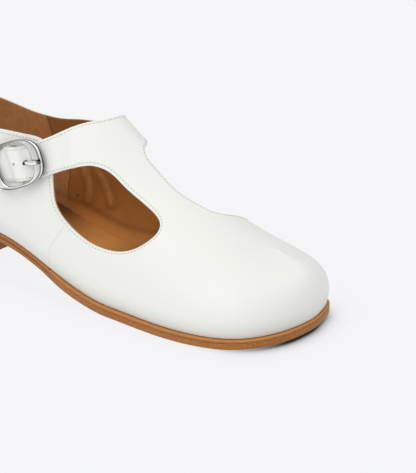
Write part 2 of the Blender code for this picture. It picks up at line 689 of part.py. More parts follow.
def make_buckle(material, collection, cutters, parent):
    """The frame with its bar, cast in one, and the prong on the bar."""
    frame = new_object("buckle_frame", buckle_ring(), material, collection, parent)
    inner = np.array((-0.0086, -0.0074, 0.0074, 0.0086))
    middle = on_strap(*beside_bar(np.zeros(4), inner), np.array((0.0024, BAR_LEVEL, BAR_LEVEL, 0.0024)))
    ends = FRAME_CENTRE[1] + np.array((-1, 1)) * (WINDOW_HALF_WIDTH + 0.0007)
    ends = on_buckle(np.zeros(2), ends, FRAME_LEVEL - 0.0001 - FRAME_TILT * ends)
    path = np.concatenate([ends[:1], middle, ends[1:]])
    bar = new_object("bar_shape", tube("bar_shape", path, BAR_RADIUS), material, cutters, parent)
    bar.hide_render = True
    bar.display_type = "WIRE"
    join = frame.modifiers.new("bar", "BOOLEAN")
    join.operation = "UNION"
    join.object = bar
    turn = np.radians(np.linspace(60, 355, 12))
    ring = BAR_RADIUS + PRONG_PLAY + PRONG_RADIUS
    loop = np.column_stack([ring * np.cos(turn), BAR_LEVEL + ring * np.sin(turn)])
    over = np.array(((0.0022, 0.0021), (0.0031, 0.0025), (0.0041, 0.0033), (0.0052, 0.0044), (0.0066, 0.0053),
                     (0.0084, 0.0058), (0.0104, 0.0059), (0.0125, 0.0059), (0.0139, 0.0060)))
    path = np.concatenate([loop, over])
    aside = -math.tan(BUCKLE_TURN) * np.clip(path[:, 0] - ring, 0, None)
    new_object("buckle_prong", tube("buckle_prong", on_buckle(path[:, 0], aside, path[:, 1]), PRONG_RADIUS),
               material, collection, parent)


def make_stay(material, collection, cutters, parent):
    """The leather stay that bridges the bar and holds it to the quarter, with a slot for the prong."""
    inner = BAR_RADIUS + GAP
    outer = inner + STAY_THICKNESS
    turns = np.radians(np.linspace(15, 165, 9))
    arch = np.column_stack([np.cos(turns), np.sin(turns)])
    low = GAP
    top = np.concatenate([
        [(STAY_HALF_LENGTH, low + STAY_THICKNESS), (outer + 0.0004, low + STAY_THICKNESS)],
        arch * outer + (0, BAR_LEVEL),
        [(-outer - 0.0004, low + STAY_THICKNESS), (-STAY_HALF_LENGTH, low + STAY_THICKNESS)],
    ])
    bottom = np.concatenate([
        [(STAY_HALF_LENGTH, low), (inner, low)],
        arch * inner + (0, BAR_LEVEL),
        [(-inner, low), (-STAY_HALF_LENGTH, low)],
    ])
    profile = np.concatenate([top, bottom[::-1]])
    count = len(profile)
    half = count // 2
    sides = []
    for w in (-STAY_HALF_WIDTH, 0.0, STAY_HALF_WIDTH):
        sides.append(on_strap(*beside_bar(profile[:, 0], np.full(count, w)), profile[:, 1]))
    faces = []
    for r in range(2):
        faces += [(r * count + i, r * count + (i + 1) % count, (r + 1) * count + (i + 1) % count,
                   (r + 1) * count + i) for i in range(count)]
    for base in (0, 2 * count):
        faces += [(base + i, base + i + 1, base + count - 2 - i, base + count - 1 - i) for i in range(half - 1)]
    stay = new_object("buckle_stay", closed_mesh("buckle_stay", np.concatenate(sides), faces), material,
                      collection, parent)
    corners = []
    for s in (-0.0024, STAY_HALF_LENGTH + 0.002):
        for w in (-STAY_SLOT, STAY_SLOT):
            for level in (-0.002, 0.008):
                corners.append(on_strap(*beside_bar(np.array(s), np.array(w)), np.array(level)))
    box = ((0, 1, 3, 2), (4, 6, 7, 5), (0, 4, 5, 1), (2, 3, 7, 6), (0, 2, 6, 4), (1, 5, 7, 3))
    slot = new_object("slot_shape", closed_mesh("slot_shape", corners, box), material, cutters, parent)
    slot.hide_render = True
    slot.display_type = "WIRE"
    cut = stay.modifiers.new("slot", "BOOLEAN")
    cut.operation = "DIFFERENCE"
    cut.object = slot


def main():
    for obj in list(bpy.data.objects):
        bpy.data.objects.remove(obj)
    shoe = bpy.data.collections.new("t_strap_shoe")
    cutters = bpy.data.collections.new("cutters")
    bpy.context.scene.collection.children.link(shoe)
    bpy.context.scene.collection.children.link(cutters)
    stand = bpy.data.objects.new("stand", None)
    shoe.objects.link(stand)

    white = make_material("leather_white", LEATHER_WHITE, 0.35)
    tan = make_material("leather_tan", LEATHER_TAN, 0.5)
    edge = make_material("leather_edge", LEATHER_EDGE, 0.55)
    stack = make_material("leather_stack", LEATHER_HEEL, 0.5)
    rubber = make_material("rubber_tan", RUBBER_TAN, 0.7)
    metal = make_material("metal_polished", METAL, 0.12, 1.0)

    upper = make_upper(white, shoe, stand)
    outsole = make_outsole(edge, shoe, stand)
    make_welt(edge, shoe, stand)
    make_insole(tan, shoe, stand)
    seat = SEAT_HEIGHT - GAP
    make_heel_part("heel_top_piece", 0.0, TOP_PIECE_THICKNESS, rubber, shoe, stand)
    make_heel_part("heel_lifts", TOP_PIECE_THICKNESS + GAP, seat, stack, shoe, stand)
    make_buckle(metal, shoe, cutters, stand)
    make_stay(white, shoe, cutters, stand)

    bpy.context.view_layer.update()
    corners = []
    graph = bpy.context.evaluated_depsgraph_get()
    for obj in shoe.objects:
        if obj.type == "MESH":
            shape = obj.evaluated_get(graph).to_mesh()
            corners += [v.co.copy() for v in shape.vertices]
    corners = np.array(corners)
    middle = (corners.min(0) + corners.max(0)) / 2
    stand.location = (-middle[0], -middle[1], 0)
    print("shoe size", np.round(corners.max(0) - corners.min(0), 4), "frame starts at", np.round(-middle[:2], 5))
    print("upper", upper.name, "outsole", outsole.name)


main()
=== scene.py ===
# %% [markdown]
# # A white T strap shoe, dressed
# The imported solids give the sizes. This file makes the surfaces that are seen: thin white leather with a
# tan lining, stitches, a polished buckle, a leather sole edge and a low stacked heel.
# Every shape is a function of two parameters, worked out in millimetres as whole arrays, then put in a mesh.

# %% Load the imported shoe
import math

import bpy
import bmesh
import numpy as np
from mathutils import Matrix
from mathutils.geometry import delaunay_2d_cdt


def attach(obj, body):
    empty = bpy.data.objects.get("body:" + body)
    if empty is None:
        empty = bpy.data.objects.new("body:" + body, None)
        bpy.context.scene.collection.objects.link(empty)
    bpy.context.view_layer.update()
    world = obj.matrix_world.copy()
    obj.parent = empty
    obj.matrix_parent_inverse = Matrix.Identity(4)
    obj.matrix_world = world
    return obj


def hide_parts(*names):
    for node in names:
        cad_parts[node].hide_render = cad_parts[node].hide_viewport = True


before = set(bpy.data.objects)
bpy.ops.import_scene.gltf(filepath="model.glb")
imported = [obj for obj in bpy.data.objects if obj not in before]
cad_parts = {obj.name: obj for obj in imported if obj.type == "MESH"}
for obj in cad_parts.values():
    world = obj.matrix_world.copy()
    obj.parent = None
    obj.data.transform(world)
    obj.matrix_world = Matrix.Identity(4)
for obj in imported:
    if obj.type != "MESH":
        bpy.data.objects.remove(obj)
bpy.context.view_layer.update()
print("solids:", sorted(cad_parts))

# %% [markdown]
# ## Camera first
# The shoe's own frame has X from the back of the heel to the toe, Y to the inner side of the foot and Z
# up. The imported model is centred, so a shift takes one to the other. The camera looks from the outer side
# of the toe, 24 degrees down, through a long lens. It is set by numbers and not aimed by eye, so that
# every outline can be laid over the photo's.

# %% Camera
MM = 0.001
SHIFT = np.array((-127.5949, 0.3716, 0.0))
CAMERA_TURN, CAMERA_RISE = math.radians(58), math.radians(24.1)
CAMERA_REACH, CAMERA_AIM, PIXELS_PER_MM = 1650.0, np.array((147.8, 73.9, 0.0)), 1.91
IMAGE_HEIGHT, SENSOR = 473, 36.0
NEAR_CLIP, FAR_CLIP = 0.05, 40


def world_matrix(*columns):
    """Three directions and a place in metres, as the columns of a 4 x 4 matrix."""
    return Matrix(np.vstack([np.column_stack(columns), (0, 0, 0, 1)]).tolist())


def scene_object(name, data):
    """A new object in the scene, with this data."""
    made = bpy.data.objects.new(name, data)
    bpy.context.scene.collection.objects.link(made)
    return made


toward = np.array((math.cos(CAMERA_TURN) * math.cos(CAMERA_RISE),
                   -math.sin(CAMERA_TURN) * math.cos(CAMERA_RISE), math.sin(CAMERA_RISE)))
right = np.array((math.sin(CAMERA_TURN), math.cos(CAMERA_TURN), 0.0))
place = (CAMERA_AIM + toward * CAMERA_REACH + SHIFT) * MM
camera = scene_object("camera", bpy.data.cameras.new("camera"))
camera.data.lens = PIXELS_PER_MM * CAMERA_REACH * SENSOR / IMAGE_HEIGHT
camera.data.sensor_width = SENSOR
camera.data.clip_start, camera.data.clip_end = NEAR_CLIP, FAR_CLIP
camera.matrix_world = world_matrix(right, np.cross(toward, right), toward, place)
bpy.context.scene.camera = camera
bpy.context.scene.view_settings.view_transform = "Standard"
print("lens", round(camera.data.lens, 1), "mm, camera at", np.round(place, 3).tolist())

# %% [markdown]
# ## The last
# A shoemaker pulls the upper over a last, the wooden or plastic form of the foot. It could be sculpted,
# but a surface given by numbers can be asked for any point and its normal, and every piece of the upper
# lies on it. Here the last is a ring of stations round the shoe. Each station has a curve from the feather
# edge, where upper and sole meet, up to the ridge along the middle of the foot. A closed spline joins the
# stations.

# %% Stations of the last, in millimetres
OUTER_SIDE = (
    # x, y, lean, rise, reach, heading in degrees, from the back of the heel to the toe
    (2, 0, 6, 45, 40, 180), (6, -16.5, 6, 45, 34, 150), (24, -27.5, 6, 46, 24, 115),
    (46, -28, 7, 46, 20, 95), (70, -27, 9, 46, 20, 90), (95, -26, 14, 42, 20, 90),
    (118, -28.5, 16, 34, 22, 90), (140, -31.5, 16, 26, 22, 90), (162, -34.5, 16, 21, 24, 90),
    (184, -38, 15, 19, 27, 90), (207.6, -39.5, 14, 19.6, 26.3, 82),
    (231.1, -34.4, 13, 21, 24.6, 65), (245.9, -19, 12, 22.2, 20.8, 40), (251.4, -4.4, 12, 23.1, 18.9, 15),
    (252.6, 5.6, 13, 23.4, 17.6, 0),
)
INNER_SIDE = (
    (6, 16.5, 6, 45, 34, 150), (24, 27, 4, 46, 24, 115), (46, 27.5, 3, 48, 20, 95),
    (70, 24, 5, 48, 20, 90), (93, 21.5, 12, 46, 20, 90), (115, 22, 16, 40, 20, 90),
    (138, 26.5, 16, 34, 18, 90), (160, 33, 14, 29, 18, 90), (184, 38, 12, 25, 20, 90),
    (208.3, 38.7, 11, 21.3, 18.3, 82), (229.5, 35.4, 12, 20.9, 17.5, 65), (245.8, 26.9, 13, 22.7, 18.7, 40),
    (251, 16.4, 13, 23.6, 18.1, 15),
)
RIDGE = (
    # x, y, z, fall towards the toe in degrees
    (52, 0, 122, 0), (60, 0, 122, 0), (74, 0, 121, 6), (92, 0, 118, 14), (110, 1, 112, 25),
    (127, 2, 101, 36), (143, 3, 87, 43), (160, 4, 72, 40), (177, 3, 59.5, 30), (193, 3, 52.4, 20),
    (206, 3, 47.6, 21), (216, 3.5, 43.1, 20), (224, 4, 40.7, 18), (228.6, 4, 40.2, 17), (230, 4, 40.1, 16),
)
TOE = len(RIDGE) - 1
ROUND = 2 * TOE
SOLE, GAP, WALL = 4.8, 0.3, 1.9
PROBE_STEP, POLE_REACH, POLE_HEIGHT, POLE_PROBE = 0.002, 0.001, 0.98, 0.97


def ring_rows():
    """One row per station: the outer side from heel to toe, then the inner side from toe to heel."""
    sides = np.array(OUTER_SIDE + INNER_SIDE[::-1], float)
    heading = np.radians(sides[:, 5])
    heading[: len(OUTER_SIDE)] *= -1
    ridge = np.array(RIDGE, float)[list(range(TOE + 1)) + list(range(TOE - 1, 0, -1))]
    return np.column_stack([sides[:, :5], np.cos(heading), np.sin(heading), ridge])


def closed_spline(rows, where):
    """Cubic spline through a closed ring. The slopes m solve m(i-1) + 4 m(i) + m(i+1) =
    3 (p(i+1) - p(i-1)), and each span is the Hermite blend of its two points and slopes. Returns the value
    and its rate."""
    count = len(rows)
    turn = np.eye(count)
    slopes = np.linalg.solve(4 * turn + np.roll(turn, 1, 1) + np.roll(turn, -1, 1),
                             3 * (np.roll(rows, -1, 0) - np.roll(rows, 1, 0)))
    first = np.floor(where).astype(int)
    f = (where - first)[..., None]
    a, b = rows[first % count], rows[(first + 1) % count]
    c, d = slopes[first % count], slopes[(first + 1) % count]
    value = (2 * f**3 - 3 * f**2 + 1) * a + (3 * f**2 - 2 * f**3) * b + (f**3 - 2 * f**2 + f) * c
    value = value + (f**3 - f**2) * d
    return value, 6 * (f - f**2) * (b - a) + (3 * f**2 - 4 * f + 1) * c + (3 * f**2 - 2 * f) * d


RING = ring_rows()
print("the last has", len(RING), "stations")


# %% The surface of the last
def unit(vectors):
    return vectors / np.linalg.norm(vectors, axis=-1, keepdims=True)


def smoothstep(x):
    x = np.clip(x, 0.0, 1.0)
    return x * x * (3 - 2 * x)


def ground(x):
    """Underside of the sole: 23 mm up on the heel, an S curve down to the ball, then a square law up."""
    return 23.0 * smoothstep((158 - x) / 90) + 2.8 * np.clip((x - 175) / 78, 0, None) ** 2


def plan(where, offset=0.0):
    """Feather edge from above, moved out along its own normal (tangent y, minus tangent x) by offset."""
    value, rate = closed_spline(RING[:, :2], where)
    along = unit(rate)
    return value + np.asarray(offset)[..., None] * np.stack([along[..., 1], -along[..., 0]], -1)


def last_surface(where, height):
    """Cubic Bezier from the feather edge up to the ridge: feather, feather + rise along the wall's lean,
    ridge + reach along its heading, ridge. Height is 0 at the feather and 1 on the ridge."""
    where, height = np.broadcast_arrays(np.asarray(where, float), np.asarray(height, float))
    row, rate = closed_spline(RING, where)
    x, y, lean, rise, reach, ahead, aside, _, _, _, fall = np.moveaxis(row, -1, 0)
    along, lean, fall = unit(rate[..., :2]), np.radians(lean), np.radians(fall)
    size = np.hypot(ahead, aside)
    feather = np.stack([x, y, ground(x) + SOLE + GAP], -1)
    up = np.stack([along[..., 1] * np.sin(lean), -along[..., 0] * np.sin(lean), np.cos(lean)], -1)
    out = np.stack([ahead / size * np.cos(fall), aside / size, -ahead / size * np.sin(fall)], -1)
    wall, ridge, v = feather + rise[..., None] * up, row[..., 7:10], height[..., None]
    crown = ridge + reach[..., None] * out
    return (1 - v) ** 3 * feather + 3 * (1 - v) ** 2 * v * wall + 3 * (1 - v) * v**2 * crown + v**3 * ridge


def on_last(chart, lift=0.0):
    """A chart point is (station, across), across from -1 at the outer feather edge, 0 on the ridge, to 1 at
    the inner feather edge. Returns surface + lift * normal, and the normal, which at the toe's end of the
    ridge, where all stations meet, is read a little lower."""
    station, across = chart[..., 0], chart[..., 1]
    where, height, step = np.where(across < 0, station, ROUND - station), 1 - np.abs(across), PROBE_STEP
    probe = np.where((np.abs(where - TOE) < POLE_REACH) & (height > POLE_HEIGHT), POLE_PROBE, height)
    high = np.minimum(probe + step, 1.0)
    normal = unit(np.cross(last_surface(where + step, probe) - last_surface(where - step, probe),
                           last_surface(where, high) - last_surface(where, high - 2 * step)))
    return last_surface(where, height) + np.asarray(lift)[..., None] * normal, normal


print("toe tip at", np.round(on_last(np.array((14.0, -1.0)))[0], 1))

# %% [markdown]
# ## Outlines
# A pattern cutter draws the openings on the last. Booleans could cut them from a closed form, but leave
# ragged edges on a curved wall. Here they are short tables in the same chart, with a natural spline
# through them, so that edges are smooth at any step.

# %% Outlines on the last
INNER_TOPLINE = (
    (0.00, 0.570), (0.30, 0.574), (1.00, 0.607), (2.00, 0.641), (3.10, 0.658), (3.95, 0.661),
    (4.45, 0.634), (4.85, 0.577), (5.17, 0.521), (5.43, 0.452), (5.63, 0.340), (5.76, 0.200),
    (5.78, 0.060), (5.69, -0.078), (5.55, -0.166), (5.42, -0.232), (5.265, -0.312),
)
OUTER_OPENING = (
    (5.885, -0.444), (5.99, -0.411), (6.13, -0.373), (6.30, -0.342), (6.46, -0.323), (6.66, -0.312),
    (6.95, -0.310), (7.32, -0.300), (7.78, -0.287), (8.07, -0.293), (8.25, -0.317), (8.33, -0.361),
    (8.28, -0.432), (8.13, -0.505), (7.90, -0.569), (7.65, -0.611), (7.36, -0.643), (6.97, -0.671),
    (6.63, -0.680), (6.34, -0.679), (6.08, -0.669), (5.90, -0.648), (5.74, -0.607), (5.57, -0.557),
    (5.42, -0.512), (5.24, -0.484), (4.94, -0.474), (4.58, -0.508), (4.02, -0.554), (3.20, -0.585),
    (2.00, -0.600), (1.00, -0.590), (0.30, -0.573), (0.00, -0.570),
)
INNER_CUTOUT = (
    (6.60, 0.094), (6.64, 0.013), (6.73, -0.027), (6.91, -0.057), (7.20, -0.062), (7.80, -0.057),
    (8.24, -0.044), (8.72, -0.025), (9.23, 0.000), (9.54, 0.081), (9.66, 0.178), (9.72, 0.280),
    (9.66, 0.380), (9.40, 0.480), (9.00, 0.560), (8.50, 0.615), (7.90, 0.655), (7.30, 0.675),
    (6.70, 0.680), (6.25, 0.665), (5.98, 0.625), (5.88, 0.560), (5.95, 0.480), (6.12, 0.390),
    (6.34, 0.280), (6.50, 0.180),
)
LINE_STEP, SEAM_STEP, SHEET_STEP = 1.3, 2.0, 2.4
VAMP_SEAM = ((6.29, -0.702), (6.25, -0.740), (6.19, -0.792), (6.08, -0.863), (6.04, -0.945), (6.02, -1.0))
CHART_MM = np.array((17.5, 75.0))
EDGE_ROLL = 0.5


def open_spline(knots, rows, where):
    """Natural cubic spline: second derivatives from the tridiagonal system, zero at both ends."""
    knots, rows = np.asarray(knots, float), np.asarray(rows, float)
    gaps = np.diff(knots)
    slopes = np.diff(rows, axis=0) / gaps[:, None]
    inner = np.arange(1, len(knots) - 1)
    system, rhs = np.eye(len(knots)), np.zeros_like(rows)
    system[inner, inner - 1], system[inner, inner + 1] = gaps[:-1], gaps[1:]
    system[inner, inner] = 2 * (gaps[:-1] + gaps[1:])
    rhs[inner] = 6 * np.diff(slopes, axis=0)
    bend = np.linalg.solve(system, rhs)
    i = np.clip(np.searchsorted(knots, where, side="right") - 1, 0, len(knots) - 2)
    h, t = gaps[i][..., None], (np.asarray(where) - knots[i])[..., None]
    start = slopes[i] - h * (2 * bend[i] + bend[i + 1]) / 6
    return rows[i] + start * t + bend[i] * t**2 / 2 + (bend[i + 1] - bend[i]) * t**3 / (6 * h)


def drawn_line(points, step, closed=False):
    """Chord lengths are the knots. A closed line repeats a few points past its ends, then is cut."""
    points = np.array(points, float)
    wrap = 4 if closed else 0
    if closed:
        points = np.concatenate([points[-wrap:], points, points[: wrap + 1]])
    knots = np.concatenate([[0], np.cumsum(np.linalg.norm(np.diff(points, axis=0) * CHART_MM, axis=1))])
    first, last = knots[wrap], knots[-1 - wrap]
    count = int(round((last - first) / step)) + 1
    line = open_spline(knots, points, np.linspace(first, last, count))
    return line[:-1] if closed else line


def moved_on_last(line, distance, closed=False):
    """Slides a chart line sideways on the last. The sideways vector is tangent x normal, and least squares
    on the two chart directions turns it into a chart step."""
    h = 0.01
    spots, normal = on_last(line)
    ahead = np.roll(spots, -1, 0) - np.roll(spots, 1, 0) if closed else np.gradient(spots, axis=0)
    side = unit(np.cross(unit(ahead), normal)) * distance
    a = (on_last(line + (h, 0))[0] - on_last(line - (h, 0))[0]) / (2 * h)
    b = (on_last(line + (0, h))[0] - on_last(line - (0, h))[0]) / (2 * h)
    aa, ab, bb = (a * a).sum(1), (a * b).sum(1), (b * b).sum(1)
    sa, sb = (side * a).sum(1), (side * b).sum(1)
    det = aa * bb - ab * ab
    return line + np.column_stack([(sa * bb - sb * ab) / det, (sb * aa - sa * ab) / det])


collar = drawn_line(INNER_TOPLINE, LINE_STEP)
print("the topline has", len(collar), "points")

# %% [markdown]
# ## The strap's tail
# The tail leaves the upper beside the T bar, lies on the quarter, and humps over the buckle's bar. It
# could be a strip of its own, bent along a curve, but the real one is cut in one with the upper and shares
# its edge. It has its own two measures: s along it from the bar, and w across it.

# %% The strap's own measures
TAIL = (
    # s, station and place of the top edge, station and place of the low edge
    (30.5, 5.265, -0.312, 5.885, -0.444), (22.5, 5.145, -0.392, 5.695, -0.507),
    (12.7, 4.93, -0.481, 5.42, -0.599), (0.0, 4.63, -0.560, 5.03, -0.695),
    (-15.5, 4.13, -0.635, 4.51, -0.770), (-26.0, 3.80, -0.680, 4.16, -0.815),
)
TAIL_ROOT, TAIL_TIP = TAIL[0][0], TAIL[-1][0]
TAIL_LIFT, TAIL_RISE, HUMP_TOP, HUMP_RADIUS, HUMP_FOOT = 2.4, 11.0, 6.1, 6.0, 4.0
STRAP_HALF = 9.15
STRAP_HOLES = ((4.9, 0.0, 1.1), (-1.2, 0.0, 0.85))
BUCKLE_TURN, CHART_SKEW, FRAME_LEVEL = math.radians(10), 0.215, 4.3


def along_buckle(s, w):
    """Distance from the bar, square to it: (s + skew w) cos turn + w sin turn."""
    return (s + CHART_SKEW * w) * math.cos(BUCKLE_TURN) + w * math.sin(BUCKLE_TURN)


def beside_bar(x, y):
    """The strap's measures of a place given square to the bar, x, and along it, y."""
    w = x * math.sin(BUCKLE_TURN) + y * math.cos(BUCKLE_TURN)
    return x * math.cos(BUCKLE_TURN) - y * math.sin(BUCKLE_TURN) - CHART_SKEW * w, w


def tail_lift(s, w):
    """Face of the strap over the quarter: a rise from the root to 2.4 mm, then two arcs, round each way."""
    rise = TAIL_LIFT * smoothstep((TAIL_ROOT - s) / TAIL_RISE)
    both, middle = HUMP_RADIUS + HUMP_FOOT, HUMP_TOP - HUMP_RADIUS
    reach = math.sqrt(both**2 - (TAIL_LIFT + HUMP_FOOT - middle) ** 2)
    turn, far = HUMP_RADIUS * reach / both, np.abs(along_buckle(s, w))
    crown = middle + np.sqrt(HUMP_RADIUS**2 - np.minimum(far, turn) ** 2)
    foot = np.sqrt(HUMP_FOOT**2 - np.clip(reach - far, 0, HUMP_FOOT) ** 2)
    return np.where(far < turn, crown, rise + HUMP_FOOT - foot)


def strap_chart(s, w):
    """Chart place of (s, w): a straight blend between the strap's two edges."""
    rows = np.array(TAIL[::-1], float)
    edge = open_spline(rows[:, 0], rows[:, 1:], s)
    share = 0.5 + 0.5 * (np.asarray(w) / STRAP_HALF)[..., None]
    return share * edge[..., 0:2] + (1 - share) * edge[..., 2:4]


def on_strap(s, w, lift):
    return on_last(strap_chart(s, w), lift)[0]


def on_buckle(x, y, z):
    """The plane that touches the quarter under the bar: origin + x ahead + y aside + z outward."""
    def at(s, w, lift):
        return on_strap(np.array(s), np.array(w), np.array(lift))
    origin = at(0.0, 0.0, 0.0)
    ahead, outward = unit(at(0.5, 0.0, 0.0) - at(-0.5, 0.0, 0.0)), unit(at(0.0, 0.0, 1.0) - origin)
    aside = np.cross(outward, ahead)
    aside = aside * np.sign(aside @ (at(0.0, 1.0, 0.0) - origin))
    c, t = math.cos(BUCKLE_TURN), math.sin(BUCKLE_TURN)
    x, y, z = (np.asarray(a, float)[..., None] for a in (x, y, z))
    return origin + (x * c - y * t) * ahead + (x * t + y * c) * aside + z * outward


def on_tail(measures):
    """Face of the tail and its normal: the cross product of the steps along s and along w."""
    def face(s, w):
        return on_strap(s, w, tail_lift(s, w))
    s, w, h = measures[:, 0], measures[:, 1], 0.15
    normal = unit(np.cross(face(s, w + h) - face(s, w - h), face(s + h, w) - face(s - h, w)))
    outward = on_last(strap_chart(s, w))[1]
    return face(s, w), normal * np.sign((normal * outward).sum(1))[:, None]


print("bar of the buckle at", np.round(on_strap(np.array(0.0), np.array(0.0), np.array(2.1)), 1))


# %% [markdown]
# ## Filling an outline
# A plain grid would leave steps along a curved edge. So a flat outline with holes is filled by a
# constrained triangulation in the chart, then every point is put on the last. The rim is a profile carried
# round each edge: leather rolls over and stops at the lining.

# %% Mesh helpers
SMOOTH_ANGLE = 60


def inside(points, loop):
    """A ray from the point crosses the loop an odd number of times."""
    x, y = points[:, 0][:, None], points[:, 1][:, None]
    a, b = loop, np.roll(loop, -1, 0)
    crosses = (a[:, 1] > y) != (b[:, 1] > y)
    rise = np.where(a[:, 1] == b[:, 1], 1.0, b[:, 1] - a[:, 1])
    return (crosses & (x < a[:, 0] + (y - a[:, 1]) / rise * (b[:, 0] - a[:, 0]))).sum(1) % 2 == 1


def outside_holes(points, loops):
    """Inside the first loop and in none of the others."""
    in_hole = np.any([inside(points, hole) for hole in loops[1:]] or [False], axis=0)
    return inside(points, loops[0]) & ~in_hole


def nearest(spots, others):
    """Least distance from each spot to any of the others, worked out a part at a time."""
    return np.concatenate([np.linalg.norm(part[:, None] - others, axis=2).min(1)
                           for part in np.array_split(spots, 1 + len(spots) // 2000)])


def filled(loops, scale, step):
    """Triangles between an outline and its holes, with inner points on a staggered grid."""
    low, high = loops[0].min(0), loops[0].max(0)
    size = step / np.asarray(scale)
    rows = [np.arange(a, b + s, s) for a, b, s in zip(low, high, size)]
    grid = np.stack(np.meshgrid(*rows, indexing="ij"), -1)
    grid[:, 1::2, 0] += size[0] / 2
    grid = grid.reshape(-1, 2)
    grid = grid[outside_holes(grid, loops)]
    near = nearest(grid * scale, np.concatenate(loops) * scale)
    points = np.concatenate(list(loops) + [grid[near > 0.55 * step]])
    first = np.cumsum([0] + [len(loop) for loop in loops])
    edges = [(int(a), int(b)) for start, loop in zip(first, loops)
             for a, b in zip(start + np.arange(len(loop)), start + np.roll(np.arange(len(loop)), -1))]
    found = delaunay_2d_cdt((points * scale).tolist(), edges, [], 0, 1e-7)
    placed, faces = np.array(found[0]) / scale, np.array(found[2])
    assert len(placed) == len(points), "the triangulation added points"
    return points, faces[outside_holes(placed[faces].mean(1), loops)]


def grid_faces(rows, columns, close_rows=False, close_columns=False):
    """Quads of a grid numbered row by row."""
    i, j = np.meshgrid(np.arange(rows - (not close_rows)), np.arange(columns - (not close_columns)),
                       indexing="ij")
    k, m = (i + 1) % rows, (j + 1) % columns
    return np.stack([i * columns + j, i * columns + m, k * columns + m, k * columns + j], -1).reshape(-1, 4)


def add_piece(name, points, faces, finish, weld=0.0, facing=True):
    """Points in millimetres of the shoe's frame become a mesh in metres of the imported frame."""
    mesh = bpy.data.meshes.new(name)
    faces = [tuple(face) for group in faces for face in np.asarray(group).tolist()]
    mesh.from_pydata(((points + SHIFT) * MM).tolist(), [], faces)
    if weld or facing:
        bm = bmesh.new()
        bm.from_mesh(mesh)
        if weld:
            bmesh.ops.remove_doubles(bm, verts=bm.verts, dist=weld * MM)
            bmesh.ops.dissolve_degenerate(bm, edges=bm.edges, dist=1e-7)
        if facing:
            bmesh.ops.recalc_face_normals(bm, faces=bm.faces)
        bm.to_mesh(mesh)
        bm.free()
    mesh.shade_smooth()
    mesh.set_sharp_from_angle(angle=math.radians(SMOOTH_ANGLE))
    piece = scene_object(name, mesh)
    mesh.materials.append(finish)
    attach(piece, "root")
    print(name, len(mesh.vertices), "points,", len(mesh.polygons), "faces")
    return piece


def add_rows(name, rows, finish, close_rows=False, capped=False):
    """A piece from a grid of points whose every row is a closed loop, with a cap at each end when asked."""
    count, columns = rows.shape[:2]
    faces = [grid_faces(count, columns, close_rows, True)]
    if capped:
        faces += [[np.arange(columns)[::-1]], [(count - 1) * columns + np.arange(columns)]]
    return add_piece(name, rows.reshape(-1, 3), faces, finish)


def give(piece, name, values):
    """Stores one number for each point, for a material to read."""
    layer = piece.data.attributes.new(name, "FLOAT", "POINT")
    layer.data.foreach_set("value", np.asarray(values, np.float32))


def stored_points(piece):
    """The piece's points, back in millimetres of the shoe's frame."""
    spots = np.empty(len(piece.data.vertices) * 3)
    piece.data.vertices.foreach_get("co", spots)
    return spots.reshape(-1, 3) / MM - SHIFT


def give_uv(piece, u, v):
    """A UV map from two numbers for each point."""
    corner = np.empty(len(piece.data.loops), int)
    piece.data.loops.foreach_get("vertex_index", corner)
    layer = piece.data.uv_layers.new(name="measure")
    layer.data.foreach_set("uv", np.column_stack([u[corner], v[corner]]).ravel().astype(np.float32))


# %% [markdown]
# ## Writing materials as sums
# A small class wraps a node's output, so that shader maths reads as Python. Any other node comes from one
# method. What varies feeds only colours, roughness, coat weight, the floor's alpha and the bump.

# %% Material helpers
class Signal:
    """An output socket that can stand in a Python sum."""

    def __init__(self, finish, socket):
        self.finish, self.socket = finish, socket

    def maths(self, operation, a, b):
        return self.finish.node("ShaderNodeMath", {"operation": operation}, {0: a, 1: b})

    def __add__(self, other):
        return self.maths("ADD", self, other)

    def __sub__(self, other):
        return self.maths("SUBTRACT", self, other)

    def __mul__(self, other):
        return self.maths("MULTIPLY", self, other)

    def __rsub__(self, other):
        return self.maths("SUBTRACT", other, self)

    __radd__, __rmul__ = __add__, __mul__

    def between(self, low, high):
        """0 below low, 1 above high, smooth between."""
        return self.finish.node("ShaderNodeMapRange", {"interpolation_type": "SMOOTHSTEP"},
                                {"Value": self, "From Min": low, "From Max": high})

    def bell(self, middle, width):
        """1 at middle, falling smoothly to 0 at middle plus or minus width."""
        far = self.maths("ABSOLUTE", self - middle, 0)
        return 1 - far.between(0, width)


